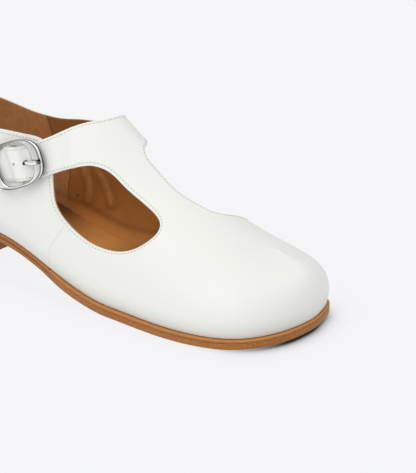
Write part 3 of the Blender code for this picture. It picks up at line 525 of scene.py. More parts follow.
class Finish:
    """A material with one Principled shader. Constants go straight on its sockets."""

    def __init__(self, name, **constants):
        self.material = bpy.data.materials.new(name)
        self.material.use_nodes = True
        self.tree = self.material.node_tree
        self.shader = self.tree.nodes["Principled BSDF"]
        for key, value in constants.items():
            self.shader.inputs[key.replace("_", " ")].default_value = value

    def plug(self, socket, value):
        if isinstance(value, Signal):
            self.tree.links.new(value.socket, socket)
        else:
            socket.default_value = value

    def node(self, kind, settings=None, inputs=None, output=0):
        """One node: its settings first, ramp stops among them, then values or links of its sockets."""
        made = self.tree.nodes.new(kind)
        for key, value in (settings or {}).items():
            if key == "stops":
                while len(made.color_ramp.elements) < len(value):
                    made.color_ramp.elements.new(0.5)
                for element, (at, color) in zip(made.color_ramp.elements, value):
                    element.position, element.color = at, (*color, 1)
            else:
                setattr(made, key, value)
        for key, value in (inputs or {}).items():
            self.plug(made.inputs[key], value)
        return Signal(self, made.outputs[output])

    def stored(self, name):
        return self.node("ShaderNodeAttribute", {"attribute_name": name}, output="Fac")

    def place(self, scale=(1, 1, 1), kind="Object"):
        """Object coordinates in metres, or the UV map, stretched by scale."""
        where = self.node("ShaderNodeTexCoord", output=kind)
        return self.node("ShaderNodeVectorMath", {"operation": "MULTIPLY"}, {0: where, 1: scale})

    def noise(self, where, scale, detail=3.0, roughness=0.5):
        return self.node("ShaderNodeTexNoise", None,
                         {"Vector": where, "Scale": scale, "Detail": detail, "Roughness": roughness})

    def pores(self, where, scale):
        return self.node("ShaderNodeTexVoronoi", {"feature": "DISTANCE_TO_EDGE"},
                         {"Vector": where, "Scale": scale})

    def mix(self, share, a, b):
        """Colours a and b mixed by share. A plain colour is red, green and blue."""
        a, b = (color if isinstance(color, Signal) else (*color, 1) for color in (a, b))
        return self.node("ShaderNodeMix", {"data_type": "RGBA"}, {0: share, 6: a, 7: b}, output=2)

    def coats(self, color, *layers):
        """Colour upon colour: each layer is its share and its colour."""
        for share, paint in layers:
            color = self.mix(share, color, paint)
        return color

    def bump(self, height, distance, strength=1.0, base=None):
        inputs = {"Height": height, "Distance": distance, "Strength": strength}
        if base is not None:
            inputs["Normal"] = base
        return self.node("ShaderNodeBump", None, inputs)

    def set(self, **links):
        for key, value in links.items():
            self.plug(self.shader.inputs[key.replace("_", " ")], value)
        return self.material


def tinted(color, *factors):
    return tuple(part * factor for part, factor in zip(color, factors))


# %% [markdown]
# ## White leather
# Smooth, lightly glazed calf: very fine pores, a soft gloss, and a shallow groove where the stitches run
# beside each edge. A painted picture could hold the groove, but would blur and slip on the curves. The
# groove and the vamp seam come from distances stored on the mesh, which stay sharp and in place. Three
# marks in the colour are painted light: a painted highlight on the rolled edge, painted shade in the
# groove, and painted shade low on the wall by the sole.

# %% White leather, lining and thread
def white_leather():
    f = Finish("white_leather", IOR=1.5, Coat_Roughness=0.3, Coat_IOR=1.5)
    where = f.place()
    cloud, grain = f.noise(where, 22.0, 2.0), f.noise(where, 1500.0, 2.0, 0.6)
    pores = f.pores(where, 1300.0)
    edge, seam = f.stored("edge"), f.stored("seam")
    groove = edge.bell(1.0, 0.5)
    line = seam.bell(0.0, 0.5) * f.stored("seam_part")
    # Painted light in the colour: the lighter rolled edge is a painted highlight, the groove's grey is
    # painted shade, and the wall darkens towards the sole as painted shade.
    color = f.coats((0.86, 0.865, 0.825), (cloud.between(0.3, 0.7) * 0.5, (0.835, 0.85, 0.815)),
                    (edge.between(0.9, 0.5) * 0.8, (0.93, 0.935, 0.91)),
                    (groove * 0.30, (0.56, 0.57, 0.52)),
                    (line * 0.24, (0.56, 0.56, 0.50)),
                    (f.stored("foot").between(11, 0) * 0.34, (0.48, 0.49, 0.45)))
    height = grain * 0.35 + pores.between(0.0, 0.25) * 0.5
    fine = f.bump(height, 0.00003, 0.5)
    shaped = f.bump(groove * -0.00022 - line * 0.00012, 1.0, 1.0, fine)
    return f.set(Base_Color=color, Roughness=0.44 + cloud * 0.10, Coat_Weight=0.22 - groove * 0.2,
                 Normal=shaped)


def tan_leather(name, light, dark, shine=0.42):
    """Vegetable tanned leather: two browns in soft clouds, fine pores, a little gloss."""
    f = Finish(name, IOR=1.45, Coat_Roughness=0.35)
    where = f.place()
    cloud, fleck = f.noise(where, 30.0, 4.0, 0.6), f.noise(where, 420.0, 3.0, 0.7)
    pores = f.pores(where, 950.0)
    color = f.coats(dark, (cloud.between(0.3, 0.7), light),
                    (fleck.between(0.52, 0.8) * 0.25, tinted(dark, 0.7, 0.7, 0.7)),
                    (f.stored("shade"), tinted(dark, 0.20, 0.15, 0.12)))
    height = pores.between(0.0, 0.3) * 0.6 + fleck * 0.5
    return f.set(Base_Color=color, Roughness=shine + cloud * 0.2, Coat_Weight=0.08 + cloud * 0.1,
                 Normal=f.bump(height, 0.00004, 0.6))


def lining_leather():
    """The lining's two skins meet at a seam: split leather behind it, smooth in front. Folds press in, each
    with a painted highlight along it and painted shade beside it, and the dimple has painted shade. Where
    the skin runs out over the insole it takes the insole's colour with painted light, and a painted shade
    line marks the bend. Up under the topline it has painted shade."""
    f = Finish("lining_leather", IOR=1.45, Coat_Roughness=0.35)
    where = f.place()
    cloud, nap = f.noise(where, 28.0, 4.0, 0.6), f.noise(where, 260.0, 4.0, 0.7)
    ahead, fold, dent = f.stored("ahead"), f.stored("fold"), f.stored("dent")
    seam, back = ahead.bell(0.0, 0.6) * f.stored("joint_part"), ahead.between(0.25, -0.25)
    smooth = f.mix(cloud.between(0.3, 0.7), (0.38, 0.15, 0.034), (0.52, 0.225, 0.058))
    rough = f.mix(nap.between(0.3, 0.7), (0.42, 0.185, 0.06), (0.52, 0.245, 0.085))
    color = f.coats(smooth, (back, rough),
                    (f.stored("high").between(50, 62) * (0.64 - back * 0.36), (0.12, 0.042, 0.010)),
                    (f.stored("bed"), (0.88, 0.41, 0.115)),
                    (f.stored("bed_line").bell(0.5, 3.0) * 0.36, (0.16, 0.06, 0.014)),
                    (f.stored("edge").between(2.4, 0.6) * 0.7, (0.50, 0.27, 0.11)),
                    (seam * 0.6, (0.12, 0.045, 0.012)),
                    (dent.bell(0.0, 1.5) * 0.75, (0.10, 0.035, 0.01)),
                    (fold.bell(2.8, 2.6) * 0.28, (0.20, 0.075, 0.018)),
                    (fold.bell(0.0, 3.0) * 0.40, (0.72, 0.36, 0.12)),
                    (f.stored("tail"), (0.84, 0.845, 0.81)))
    height = (nap * back * 0.00022 - seam * 0.0004 + fold.bell(0.0, 3.6) * 0.0010
              - dent.bell(0.0, 1.6) * 0.0007)
    return f.set(Base_Color=color, Roughness=0.44 + back * 0.3, Coat_Weight=0.10 - back * 0.1,
                 Normal=f.bump(height, 1.0, 0.8))


def thread():
    f = Finish("thread", Roughness=0.55, Sheen_Weight=0.2)
    twist = f.noise(f.place(), 2600.0, 1.0)
    color = f.mix(twist, (0.80, 0.80, 0.74), (0.66, 0.66, 0.60))
    return f.set(Base_Color=color, Normal=f.bump(twist, 0.0001, 0.5))


WHITE = white_leather()
LINING = lining_leather()
THREAD = thread()
print("finishes:", [finish.name for finish in (WHITE, LINING, THREAD)])


# %% [markdown]
# ## The upper
# One wall with two faces. A Solidify modifier could thicken one sheet, but the two skins differ in colour
# and in how their edges turn. The white face and the tan lining are filled from the same chart points, and
# their rims meet inside the edge, as the two skins do on a real shoe.

# %% Chart points of the wall
def straight(start, end, step):
    """Even chart points from start, without end."""
    start, end = np.array(start, float), np.array(end, float)
    count = max(1, int(round(np.linalg.norm((end - start) * CHART_MM) / step)))
    return start + (end - start) * np.arange(count)[:, None] / count


def wall_chart(roll):
    """Outline and hole of the upper, moved in from the true edge by roll."""
    across = np.linspace(STRAP_HALF - roll, roll - STRAP_HALF, 10)
    root = strap_chart(np.full(len(across), TAIL_ROOT), across)
    top = moved_on_last(drawn_line(INNER_TOPLINE, LINE_STEP), -roll)
    low = moved_on_last(drawn_line(OUTER_OPENING, LINE_STEP), -roll)
    top[0, 0] = low[-1, 0] = 0.0
    low[-1, 1] = -top[0, 1]
    hole = moved_on_last(drawn_line(INNER_CUTOUT, LINE_STEP, closed=True), -roll, closed=True)
    back = top[0, 1]
    corners = ((0, -back), (0, -1), (TOE, -1), (TOE, 0), (TOE, 1), (0, 1), (0, back))
    outline = [straight(start, end, SHEET_STEP) for start, end in zip(corners, corners[1:])]
    outline += [top[:-1], root, low[1:-1]]
    starts = np.cumsum([0] + [len(part) for part in outline])
    return np.concatenate(outline), hole, starts, len(root)


outline, hole, starts, root_count = wall_chart(EDGE_ROLL)
chart, wall_faces = filled([outline, hole], CHART_MM, SHEET_STEP)
wall_points, wall_normals = on_last(chart)
print("wall:", len(chart), "points,", len(wall_faces), "faces")


# %% Points of the tail
NOSE, TAIL_STEP, PUNCH_ROLL = 8.0, 1.2, 0.2
BAR_NARROW, NARROW_REACH = 0.8, 9.0


def tail_measures(roll):
    """Outline of the tail in (s, w) from its root round its tip, and its punched holes as circles. The
    sides draw in by 0.8 exp(-(s / 9)^2) mm where they pass through the frame."""
    half, tip = STRAP_HALF - roll, TAIL_TIP + roll
    turn = np.linspace(0, np.pi, 19)[1:-1]
    runs = np.arange(TAIL_ROOT, tip + NOSE, -TAIL_STEP)[1:]
    low = np.column_stack([runs, BAR_NARROW * np.exp(-((runs / NARROW_REACH) ** 2)) - half])
    nose = np.column_stack([tip + NOSE - NOSE * np.sin(turn), -half * np.cos(turn)])
    top = low[::-1] * (1, -1)
    root = np.column_stack([np.full(root_count, TAIL_ROOT), np.linspace(half, -half, root_count)])
    circle = np.linspace(0, 2 * np.pi, 20, endpoint=False)
    holes = [np.column_stack([s + (r + PUNCH_ROLL) * np.cos(circle), w + (r + PUNCH_ROLL) * np.sin(circle)])
             for s, w, r in STRAP_HOLES]
    return np.concatenate([root, low, nose, top]), holes


tail_outline, tail_holes = tail_measures(EDGE_ROLL)
measures, tail_faces = filled([tail_outline] + tail_holes, (1.0, 1.0), 1.0)
tail_points, tail_normals = on_tail(measures)
points = np.concatenate([wall_points, tail_points])
normals = np.concatenate([wall_normals, tail_normals])
faces = np.concatenate([wall_faces, tail_faces + len(wall_points)])
at = len(wall_points)
collar_loop = np.concatenate([np.arange(starts[6], starts[7]), [starts[7]],
                              at + np.arange(len(tail_outline) - 1, root_count - 1, -1),
                              np.arange(starts[8] - 1, starts[9]), [0]])
hole_loop = len(outline) + np.arange(len(hole))
first = at + len(tail_outline) + np.cumsum([0] + [len(h) for h in tail_holes])
print("tail:", len(measures), "points; the collar's edge has", len(collar_loop), "points")


# %% Rims
def rim(loop, profile, inward):
    """A profile of (out, down) pairs carried round an edge: point + out * outward - down * normal, where
    outward is tangent x normal. The first pair is the sheet's own edge."""
    spot, up = points[loop], normals[loop]
    ahead = unit(np.roll(spot, -1, 0) - np.roll(spot, 1, 0))
    ahead = unit(np.roll(ahead, 1, 0) + 2 * ahead + np.roll(ahead, -1, 0))
    out = unit(np.cross(ahead, up)) * inward
    profile = np.asarray(profile, float)
    return spot[None] + profile[:, None, :1] * out[None] - profile[:, None, 1:] * up[None]


def side_of(loop):
    """Which way tangent x normal points: away from the nearest inner points, or towards them."""
    spot, up = points[loop], normals[loop]
    out = np.cross(unit(np.roll(spot, -1, 0) - np.roll(spot, 1, 0)), up)
    rest = np.setdiff1d(np.arange(len(points)), loop)
    far = np.linalg.norm(spot[:, None] - points[rest], axis=2)
    inner = points[rest[far.argmin(1)]]
    return -1.0 if ((inner - spot) * out).sum(1).mean() > 0 else 1.0


def leather_skin(name, base, profile, finish, hole_profile):
    """The filled sheet at one depth with a rim on every free edge."""
    stack, quads = [points - normals * base], [faces]
    for loop, shape in [(collar_loop, profile), (hole_loop, profile)] + [
            (first[i] + np.arange(len(tail_holes[i])), hole_profile) for i in range(len(tail_holes))]:
        rows = rim(loop, shape, side_of(loop))
        start = sum(len(part) for part in stack)
        stack.append(rows.reshape(-1, 3))
        quads.append(start + grid_faces(len(shape), len(loop), close_columns=True))
    return add_piece(name, np.concatenate(stack), quads, finish, weld=0.004)


ROLL = [(0, 0), (0.17, 0.02), (0.33, 0.10), (0.44, 0.24), (0.49, 0.42), (0.50, 0.65), (0.50, 1.05),
        (0.44, 1.18), (0.30, 1.22)]
TUCK = [(0.20, 1.16), (0.50, 1.22), (0.64, 1.32), (0.66, 1.50), (0.60, 1.72), (0.36, 1.88), (0, WALL)]
PUNCH = [(0, 0), (0.10, 0.03), (0.18, 0.12), (0.20, 0.28), (0.20, 1.20)]
PUNCH_LOW = [(0.20, 1.16), (0.20, 1.80), (0, WALL)]
upper = leather_skin("upper_leather", 0.0, ROLL, WHITE, PUNCH)
lining = leather_skin("upper_lining", WALL, TUCK, LINING, PUNCH_LOW)


def relax(piece, centre, reach, rounds):
    """Each vertex near a centre moves towards the mean of its neighbours: v + w (mean - v), where
    w = exp(-(distance / reach)^2) / 2. It evens out the toe, where all the stations meet."""
    spots = stored_points(piece)
    ends = np.empty(len(piece.data.edges) * 2, np.int32)
    piece.data.edges.foreach_get("vertices", ends)
    ends = ends.reshape(-1, 2)
    ends = np.concatenate([ends, ends[:, ::-1]])
    weight = 0.5 * np.exp(-((np.linalg.norm(spots - centre, axis=1) / reach) ** 2))[:, None]
    count = np.maximum(np.bincount(ends[:, 0], minlength=len(spots)), 1)[:, None]
    for _ in range(rounds):
        total = np.column_stack([np.bincount(ends[:, 0], spots[ends[:, 1], axis], len(spots))
                                 for axis in range(3)])
        spots = spots + weight * (total / count - spots)
    piece.data.vertices.foreach_set("co", ((spots + SHIFT) * MM).ravel())
    piece.data.update()


RELAX_REACH, RELAX_ROUNDS = 18.0, 10
ridge_end = last_surface(TOE, 1.0)
relax(upper, ridge_end, RELAX_REACH, RELAX_ROUNDS)
relax(lining, ridge_end, RELAX_REACH, RELAX_ROUNDS)
print("the ridge ends at", ridge_end.round(1))
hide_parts("upper")
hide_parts("upper")

# %% [markdown]
# ## Seams, folds and painted light
# The lining has a seam, two soft folds and a dimple, and low down it takes the insole's colour, with painted
# light and shade. Cut into the mesh, these would need a far finer one. Their lines are drawn in the chart,
# each point stores how far it is from them, and the materials turn that into dents and colour.

# %% Distances stored for the leather's groove and seam
def line_distance(spots, line):
    """Least distance from each spot to a polyline, span by span."""
    a, b = line[:-1], line[1:]
    out = []
    for part in np.array_split(spots, 1 + len(spots) // 1500):
        share = ((part[:, None] - a) * (b - a)).sum(2) / ((b - a) ** 2).sum(1)
        near = a + np.clip(share, 0, 1)[..., None] * (b - a)
        out.append(np.linalg.norm(part[:, None] - near, axis=2).min(1))
    return np.concatenate(out)


def bed_painted_light(x):
    """Painted light on the bed along the shoe: how much of the insole's lit colour it takes. It rises from
    86 to
    112 mm, then falls to a third.
    """
    return smoothstep((x - 86) / 26) * (1 - 0.66 * smoothstep((x - 120) / 26))


def seen_along(spots, line):
    """Signed distance along x from each spot to a line that runs up the wall, at the spot's own z."""
    line = line[np.argsort(line[:, 2])]
    return spots[:, 0] - np.interp(spots[:, 2], line[:, 2], line[:, 0])


spots = stored_points(upper)
edges = [np.concatenate([points[loop], points[loop[:1]]]) for loop in (collar_loop, hole_loop)]
edge_far = np.minimum(*[line_distance(spots, line) for line in edges]) + EDGE_ROLL
seam_line = on_last(drawn_line(VAMP_SEAM, SEAM_STEP))[0]
give(upper, "seam_part", ((spots[:, 2] < seam_line[:, 2].max() + 2) & (spots[:, 1] < 0)).astype(float))
# The height over the sole, for the painted shade low on the white wall.
give(upper, "foot", spots[:, 2] - ground(spots[:, 0]) - 5)
give(upper, "edge", edge_far)
give(upper, "seam", seen_along(spots, seam_line))
LINING_SEAM = ((3.90, 0.615), (4.08, 0.661), (4.22, 0.695), (4.36, 0.733), (4.75, 0.792), (5.04, 0.836),
               (5.066, 0.866), (5.075, 0.896), (5.089, 0.921))
FOLDS = (((5.34, 0.786), (5.52, 0.823), (5.62, 0.859), (5.63, 0.906)),
         ((5.62, 0.738), (5.86, 0.770), (6.05, 0.807), (6.20, 0.849)))
DENT = ((5.30, 0.920), (5.429, 0.913))
BED_LINE = ((4.6, 0.960), (5.2, 0.940), (5.606, 0.927), (6.085, 0.916), (6.609, 0.905), (7.346, 0.86),
            (8.4, 0.84))


def inside_line(line, step=SEAM_STEP):
    """A chart line as points on the lining."""
    return on_last(drawn_line(line, step), -WALL)[0]


spots = stored_points(lining)
seam_line, bed_line = inside_line(LINING_SEAM), inside_line(BED_LINE)
give(lining, "ahead", seen_along(spots, seam_line))
give(lining, "joint_part", (spots[:, 2] > seam_line[:, 2].min() - 0.5).astype(float))
give(lining, "fold", np.min([line_distance(spots, inside_line(fold)) for fold in FOLDS], axis=0))
give(lining, "dent", line_distance(spots, inside_line(DENT, 1.0)))
# high places the painted shade up under the topline. bed paints the insole's colour, in painted light, where
# the lining runs onto the insole, and bed_line a painted shade line at the bend.
give(lining, "high", spots[:, 2])
below = np.interp(spots[:, 0], bed_line[:, 0], bed_line[:, 2]) - spots[:, 2]
give(lining, "bed_line", np.where(spots[:, 1] > 0, below, -20.0))
give(lining, "bed", smoothstep((below + 2) / 12) * bed_painted_light(spots[:, 0]))
give(lining, "edge", np.minimum(*[line_distance(spots, line - (0, 0, 0.8)) for line in edges]))
TAIL_NEAR = 1.3
give(lining, "tail", np.where(nearest(spots, tail_points - tail_normals * WALL) < TAIL_NEAR, 1.0, 0.0))
print("edge distance from", edge_far.min().round(2), "to", edge_far.max().round(1), "mm")

# %% [markdown]
# ## Stitches
# One lockstitch is a short round thread that dips into the leather at both ends. An array along a curve
# could set them, but would tilt them where the wall turns. All of them are one mesh: the same small
# capsule at each place, turned to the edge's own directions.

# %% Stitches
STITCH_PITCH, STITCH_LENGTH, THREAD_RADIUS = 1.9, 1.4, 0.21
STITCH_INSET, BAR_SIDE_MORE, BAR_SIDE_FROM, BAR_SIDE_RISE = 1.15, 0.5, 47, 12
NEEDLE_RADIUS, NEEDLE_LIFT = 0.25, 0.03


def even_marks(line, pitch):
    """Places at even arc lengths round a closed line, as numbers of points and parts of a point."""
    path = np.concatenate([line, line[:1]])
    run = np.concatenate([[0], np.cumsum(np.linalg.norm(np.diff(path, axis=0), axis=1))])
    lengths = np.linspace(0, run[-1], int(run[-1] / pitch), endpoint=False) + pitch / 2
    return np.interp(lengths, run, np.arange(len(path)))


def read_line(values, marks):
    """Values of the line's points at the marks, by a straight blend."""
    low = np.floor(marks).astype(int) % len(values)
    share = (marks - np.floor(marks))[:, None]
    return values[low] * (1 - share) + values[(low + 1) % len(values)] * share


def at_marks(spots, up, marks):
    """Place, direction along the line, and normal at each mark."""
    along = unit(read_line(spots, marks + 0.3) - read_line(spots, marks - 0.3))
    return read_line(spots, marks), along, unit(read_line(up, marks))


def copied(quads, copies, size):
    """The same quads for each copy, where a copy has size points."""
    return (quads[None] + (np.arange(copies) * size)[:, None, None]).reshape(-1, 4)


def stitch_row(spots, up):
    """A bent capsule at each mark. At share a from -1 to 1 its ring stands at centre + a * length / 2 *
    along + dip * up, where dip = 0.12 - 0.5 a^4 mm, and has the radius radius * sqrt(1 - a^6)."""
    centre, along, top = at_marks(spots, up, even_marks(spots, STITCH_PITCH))
    a, turn = np.linspace(-1, 1, 7), np.linspace(0, 2 * np.pi, 7)[:-1]
    side, size = np.cross(along, top), THREAD_RADIUS * np.sqrt(np.clip(1 - a**6, 0.02, 1))
    axis = (centre[:, None] + (a * STITCH_LENGTH / 2)[None, :, None] * along[:, None]
            + (0.12 - 0.5 * a**4)[None, :, None] * top[:, None])
    ring = np.cos(turn)[:, None] * side[:, None] + np.sin(turn)[:, None] * top[:, None]
    capsule = axis[:, :, None] + size[:, None, None] * ring[:, None]
    quads = grid_faces(len(a), len(turn), close_columns=True)
    return capsule.reshape(-1, 3), copied(quads, len(centre), len(a) * len(turn))


def needle_row(spots, up):
    """A small dark round between two stitches, painted shade in the needle hole: centre + r (cos * along +
    sin * side) + 0.03 mm * up.
    """
    marks = even_marks(spots, STITCH_PITCH)
    marks = 0.5 * (marks + np.concatenate([marks[1:], [marks[0] + len(spots)]]))
    centre, along, top = at_marks(spots, up, marks)
    side, turn = np.cross(along, top), np.linspace(0, 2 * np.pi, 9)[:-1]
    ring = np.cos(turn)[:, None] * along[:, None] + np.sin(turn)[:, None] * side[:, None]
    radii = np.array((NEEDLE_RADIUS, 0.0))
    disc = (centre + NEEDLE_LIFT * top)[:, None, None] + radii[:, None, None] * ring[:, None]
    quads = grid_faces(len(radii), len(turn), close_columns=True)
    return disc.reshape(-1, 3), copied(quads, len(centre), len(radii) * len(turn))


def inset_loop(loop, inset):
    """The edge moved in along the sheet, with the sheet's normals."""
    spot, up = points[loop], normals[loop]
    ahead = unit(np.roll(spot, -1, 0) - np.roll(spot, 1, 0))
    out = unit(np.cross(ahead, up)) * side_of(loop)
    return spot - inset * out, up


def along_edges(name, make_row, finish, **options):
    """One mesh of all that make_row sets along the collar's edge and round the inner cut-out."""
    rows = [make_row(*inset_loop(loop, inset)) for loop, inset in zip((collar_loop, hole_loop), insets)]
    start = np.cumsum([0] + [len(spots) for spots, _ in rows])
    quads = [part + number for (_, part), number in zip(rows, start)]
    return add_piece(name, np.concatenate([spots for spots, _ in rows]), quads, finish, **options)


# The line keeps 1.15 mm from the edge, and 1.65 mm along the bar side of the outer cut-out.
lower = np.arange(len(collar_loop)) > len(collar_loop) - (starts[9] - starts[8]) - 2
bar_side = lower * smoothstep((points[collar_loop][:, 2] - BAR_SIDE_FROM) / BAR_SIDE_RISE)
insets = [(STITCH_INSET + BAR_SIDE_MORE * bar_side - EDGE_ROLL)[:, None], STITCH_INSET - EDGE_ROLL]
stitches = along_edges("stitches", stitch_row, THREAD)
# The needle holes are dark discs: painted shade where the thread goes into the leather.
NEEDLE_SHADE = Finish("needle_hole_shade", Base_Color=(0.27, 0.26, 0.22, 1), Roughness=0.8).material
holes = along_edges("stitch_holes", needle_row, NEEDLE_SHADE, weld=0.001, facing=False)

# %% [markdown]
# ## Sole edge leather
# The sole's edge is cut leather: layered, waxed and burnished, with fine streaks along it. In Object
# coordinates the streaks would run straight on where the edge bends. The UV map holds millimetres along
# the edge and up it, so they follow the shoe.

# %% Sole leather
def edge_leather(name, light, dark, line_color):
    f = Finish(name, IOR=1.4, Coat_Roughness=0.4)
    where = f.place((0.16, 1.0, 1.0), "UV")
    streak = f.noise(where, 2.2, 5.0, 0.65)
    coarse = f.noise(f.place((0.03, 0.25, 1.0), "UV"), 1.0, 3.0, 0.5)
    fibre = f.noise(f.place(), 900.0, 3.0, 0.7)
    sand = f.noise(f.place(), 1150.0, 2.0, 0.7)
    joint = f.stored("joint")
    color = f.coats(dark, (streak.between(0.3, 0.7), light),
                    (coarse.between(0.35, 0.7) * 0.45, tinted(dark, 0.75, 0.72, 0.7)),
                    (sand.between(0.45, 0.7) * 0.55, tinted(light, 1.35, 1.4, 1.5)),
                    (f.stored("lip") * 0.7, tinted(light, 1.5, 1.65, 2.0)),
                    (joint, line_color))
    height = streak * 0.7 + fibre * 0.5 - joint * 1.2
    return f.set(Base_Color=color, Roughness=0.42 + streak * 0.2 + joint * 0.2,
                 Coat_Weight=0.06 - joint * 0.05, Normal=f.bump(height, 0.00016, 0.7))


SOLE_EDGE, WELT_LEATHER, HEEL_STACK = (edge_leather(*row) for row in (
    ("sole_edge_leather", (0.385, 0.148, 0.030), (0.26, 0.092, 0.017), (0.15, 0.05, 0.014)),
    ("welt_leather", (0.40, 0.155, 0.032), (0.28, 0.100, 0.019), (0.20, 0.07, 0.018)),
    ("heel_stack_leather", (0.27, 0.10, 0.032), (0.16, 0.055, 0.018), (0.06, 0.022, 0.01))))
print("sole finishes ready")

# %% [markdown]
# ## Sole, welt and insole
# The sole is cut a little wider than the upper, and a thin welt lies on its shelf round the forepart. A
# flat outline with a thickness and a bevel would give one even edge, but a real one is rounded below,
# grooved under the welt, and narrower at the waist. So each part is a profile carried round the feather
# edge, and the margin is a function of the station.

# %% Sole, welt and insole shapes
WELT_START, MARGIN_START, MARGIN_END = 6.0, 5.6, 6.6
WAIST_MARGIN, MARGIN_RISE, TOE_TRIM = 0.6, 1.7, 0.9


def side_station(where):
    """The station counted from the heel on either side of the shoe."""
    return np.where(where > TOE, ROUND - where, where)


def margin(where):
    """Sole beyond the feather edge: 0.6 mm at the waist, 2.3 mm at the forepart, 1.4 mm round the toe."""
    toe = smoothstep((where - 11.5) / 2.0) * (1 - smoothstep((where - 16.5) / 2.5))
    rise = smoothstep((side_station(where) - MARGIN_START) / (MARGIN_END - MARGIN_START))
    return WAIST_MARGIN + MARGIN_RISE * rise - TOE_TRIM * toe


def edge_row(where, offset, height):
    """The feather edge moved out by offset, at a height over the underside of the sole."""
    flat = plan(where, offset)
    return np.column_stack([flat, ground(flat[:, 0]) + height])


def ring_grid(where, section):
    """Section rows, as offset past the sole's margin and height, carried round the shoe."""
    return np.array([edge_row(where, margin(where) + offset, height) for offset, height in section])


def towards_middle(edge_row, height, columns):
    """Rows that close a ring to its middle line: edge * (1 - share) + middle * share."""
    middle = 0.5 * (edge_row + np.roll(edge_row[::-1], 1, 0))
    share = np.linspace(0, 1, columns + 1)[1:, None, None]
    rows = edge_row[None] * (1 - share) + middle[None] * share
    rows[..., 2] = ground(rows[..., 0]) + height
    return rows


def run_length(row):
    return np.concatenate([[0], np.cumsum(np.linalg.norm(np.diff(row, axis=0), axis=1))])


# %% The outsole
SOLE_SIDE = ((-0.55, 0.0), (-0.25, 0.06), (-0.07, 0.22), (0.0, 0.5), (0.03, 1.2), (0.04, 2.0), (0.02, 2.6))
SOLE_TOP = (
    # past the margin, height under the welt, height at the waist
    (0.03, 3.1, 3.6), (0.0, 3.26, 4.1), (-0.12, 3.36, 4.6), (-0.45, 3.4, 4.78), (-2.6, 3.4, 4.8),
)
SHELF_SLOPE, SOLE_ROW_UV, SEAT_LEVEL = 0.16, 0.7, 4.6
where = np.linspace(0, ROUND, 560, endpoint=False)
fore = smoothstep((side_station(where) - WELT_START) / SHELF_SLOPE)
side_rows = ring_grid(where, SOLE_SIDE)
upper_rows = ring_grid(where, [(offset, high + (low - high) * fore) for offset, low, high in SOLE_TOP])
bottom = towards_middle(side_rows[0], 0.0, 6)[::-1]
top = towards_middle(upper_rows[-1], SEAT_LEVEL, 3)
shell = np.concatenate([bottom, side_rows, upper_rows, top])
outsole = add_rows("sole_leather", shell, SOLE_EDGE)
give_uv(outsole, np.tile(run_length(side_rows[2]), len(shell)),
        np.repeat(np.arange(len(shell)) * SOLE_ROW_UV, len(where)))
band = np.zeros(shell.shape[:2])
band[len(bottom) + len(SOLE_SIDE) - 1] = 1 - fore
give(outsole, "joint", band.ravel())
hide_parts("outsole")

# %% The welt
WELT_SECTION = (
    # past the margin, height, how light the lip is
    (-5.0, 3.45, 0), (-0.30, 3.42, 0), (-0.08, 3.50, 0), (0.06, 3.75, 0), (0.10, 4.1, 0),
    (0.04, 4.5, 0.2), (-0.12, 4.72, 0.9), (-0.35, 4.8, 1), (-0.9, 4.82, 0.7), (-1.5, 4.84, 0.4),
    (-2.1, 4.86, 0.2), (-5.0, 4.8, 0),
)
WELT_INSET, WELT_TAPER, WELT_ROW_UV = 0.02, 0.10, 0.6
where = np.linspace(WELT_START + WELT_INSET, ROUND - WELT_START - WELT_INSET, 420)
strip = ring_grid(where, [row[:2] for row in WELT_SECTION])
ends = smoothstep(np.minimum(where - where[0], where[-1] - where) / WELT_TAPER)
middle = strip.mean(0, keepdims=True)
strip[..., 2] = middle[..., 2] + (strip[..., 2] - middle[..., 2]) * (0.25 + 0.75 * ends)
count = len(WELT_SECTION)
caps = [np.arange(count) * len(where), np.arange(count)[::-1] * len(where) + len(where) - 1]
sides = grid_faces(count, len(where), close_rows=True)
welt = add_piece("welt_strip", strip.reshape(-1, 3), [sides, [caps[0]], [caps[1]]], WELT_LEATHER)
give_uv(welt, np.tile(run_length(strip[4]), count), np.repeat(np.arange(count) * WELT_ROW_UV, len(where)))
groove = 1 - 0.85 * smoothstep((side_station(where) - 8) / 2.5)
give(welt, "joint", np.outer(np.array([1, 0.6, 0.1] + [0] * (count - 3)), groove).ravel())
give(welt, "lip", np.repeat([row[2] for row in WELT_SECTION], len(where)))
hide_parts("welt")

# %% The insole
INSOLE = tan_leather("insole_leather", (0.86, 0.40, 0.115), (0.76, 0.335, 0.09), 0.38)
BED_GAP, BED_TOP, FORE_SHADE = 0.02, 7.3, 0.66
CORNER, CORNER_REACH = (94, 17), (15, 16)
where = np.linspace(0, ROUND, 420, endpoint=False)
inset = -(WALL + BED_GAP)
BED_EDGE = ((inset - 6, 5.15), (inset, 5.15), (inset, 7.15), (inset - 0.15, 7.22), (inset - 0.6, 7.27))
rows = np.array([edge_row(where, offset, height) for offset, height in BED_EDGE])
insole = add_rows("insole_bed", np.concatenate([rows, towards_middle(rows[-1], BED_TOP, 10)]), INSOLE)
spots = stored_points(insole)
# The insole's stored shade is painted shade: a soft dark patch on the inner side of the bed, and a darker
# fore part.
corner = np.exp(-(((spots[:, :2] - CORNER) / CORNER_REACH) ** 2).sum(1))
give(insole, "shade", np.maximum(corner, FORE_SHADE * smoothstep((spots[:, 0] - 120) / 26)))
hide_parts("insole")

# %% [markdown]
# ## The heel
# A low block of leather lifts, glued, trimmed to the seat's outline and burnished, on a rubber top piece.
# Separate blocks would gape or clash at their joints, while real lifts are sanded to one wall. So one loop
# rises through all the levels and tucks in a little at each joint, which shows as a fine dark line. Its
# breast, the front face, is hollow.

# %% Heel block and top piece
SEAT, HEEL_ENDS, BREAST_HOLLOW, SEAT_INSET, HEEL_TAPER = 22.7, 4.05, 6.0, 0.4, 1.6
RUBBER = tan_leather("top_piece_rubber", (0.24, 0.11, 0.05), (0.17, 0.075, 0.033), 0.6)


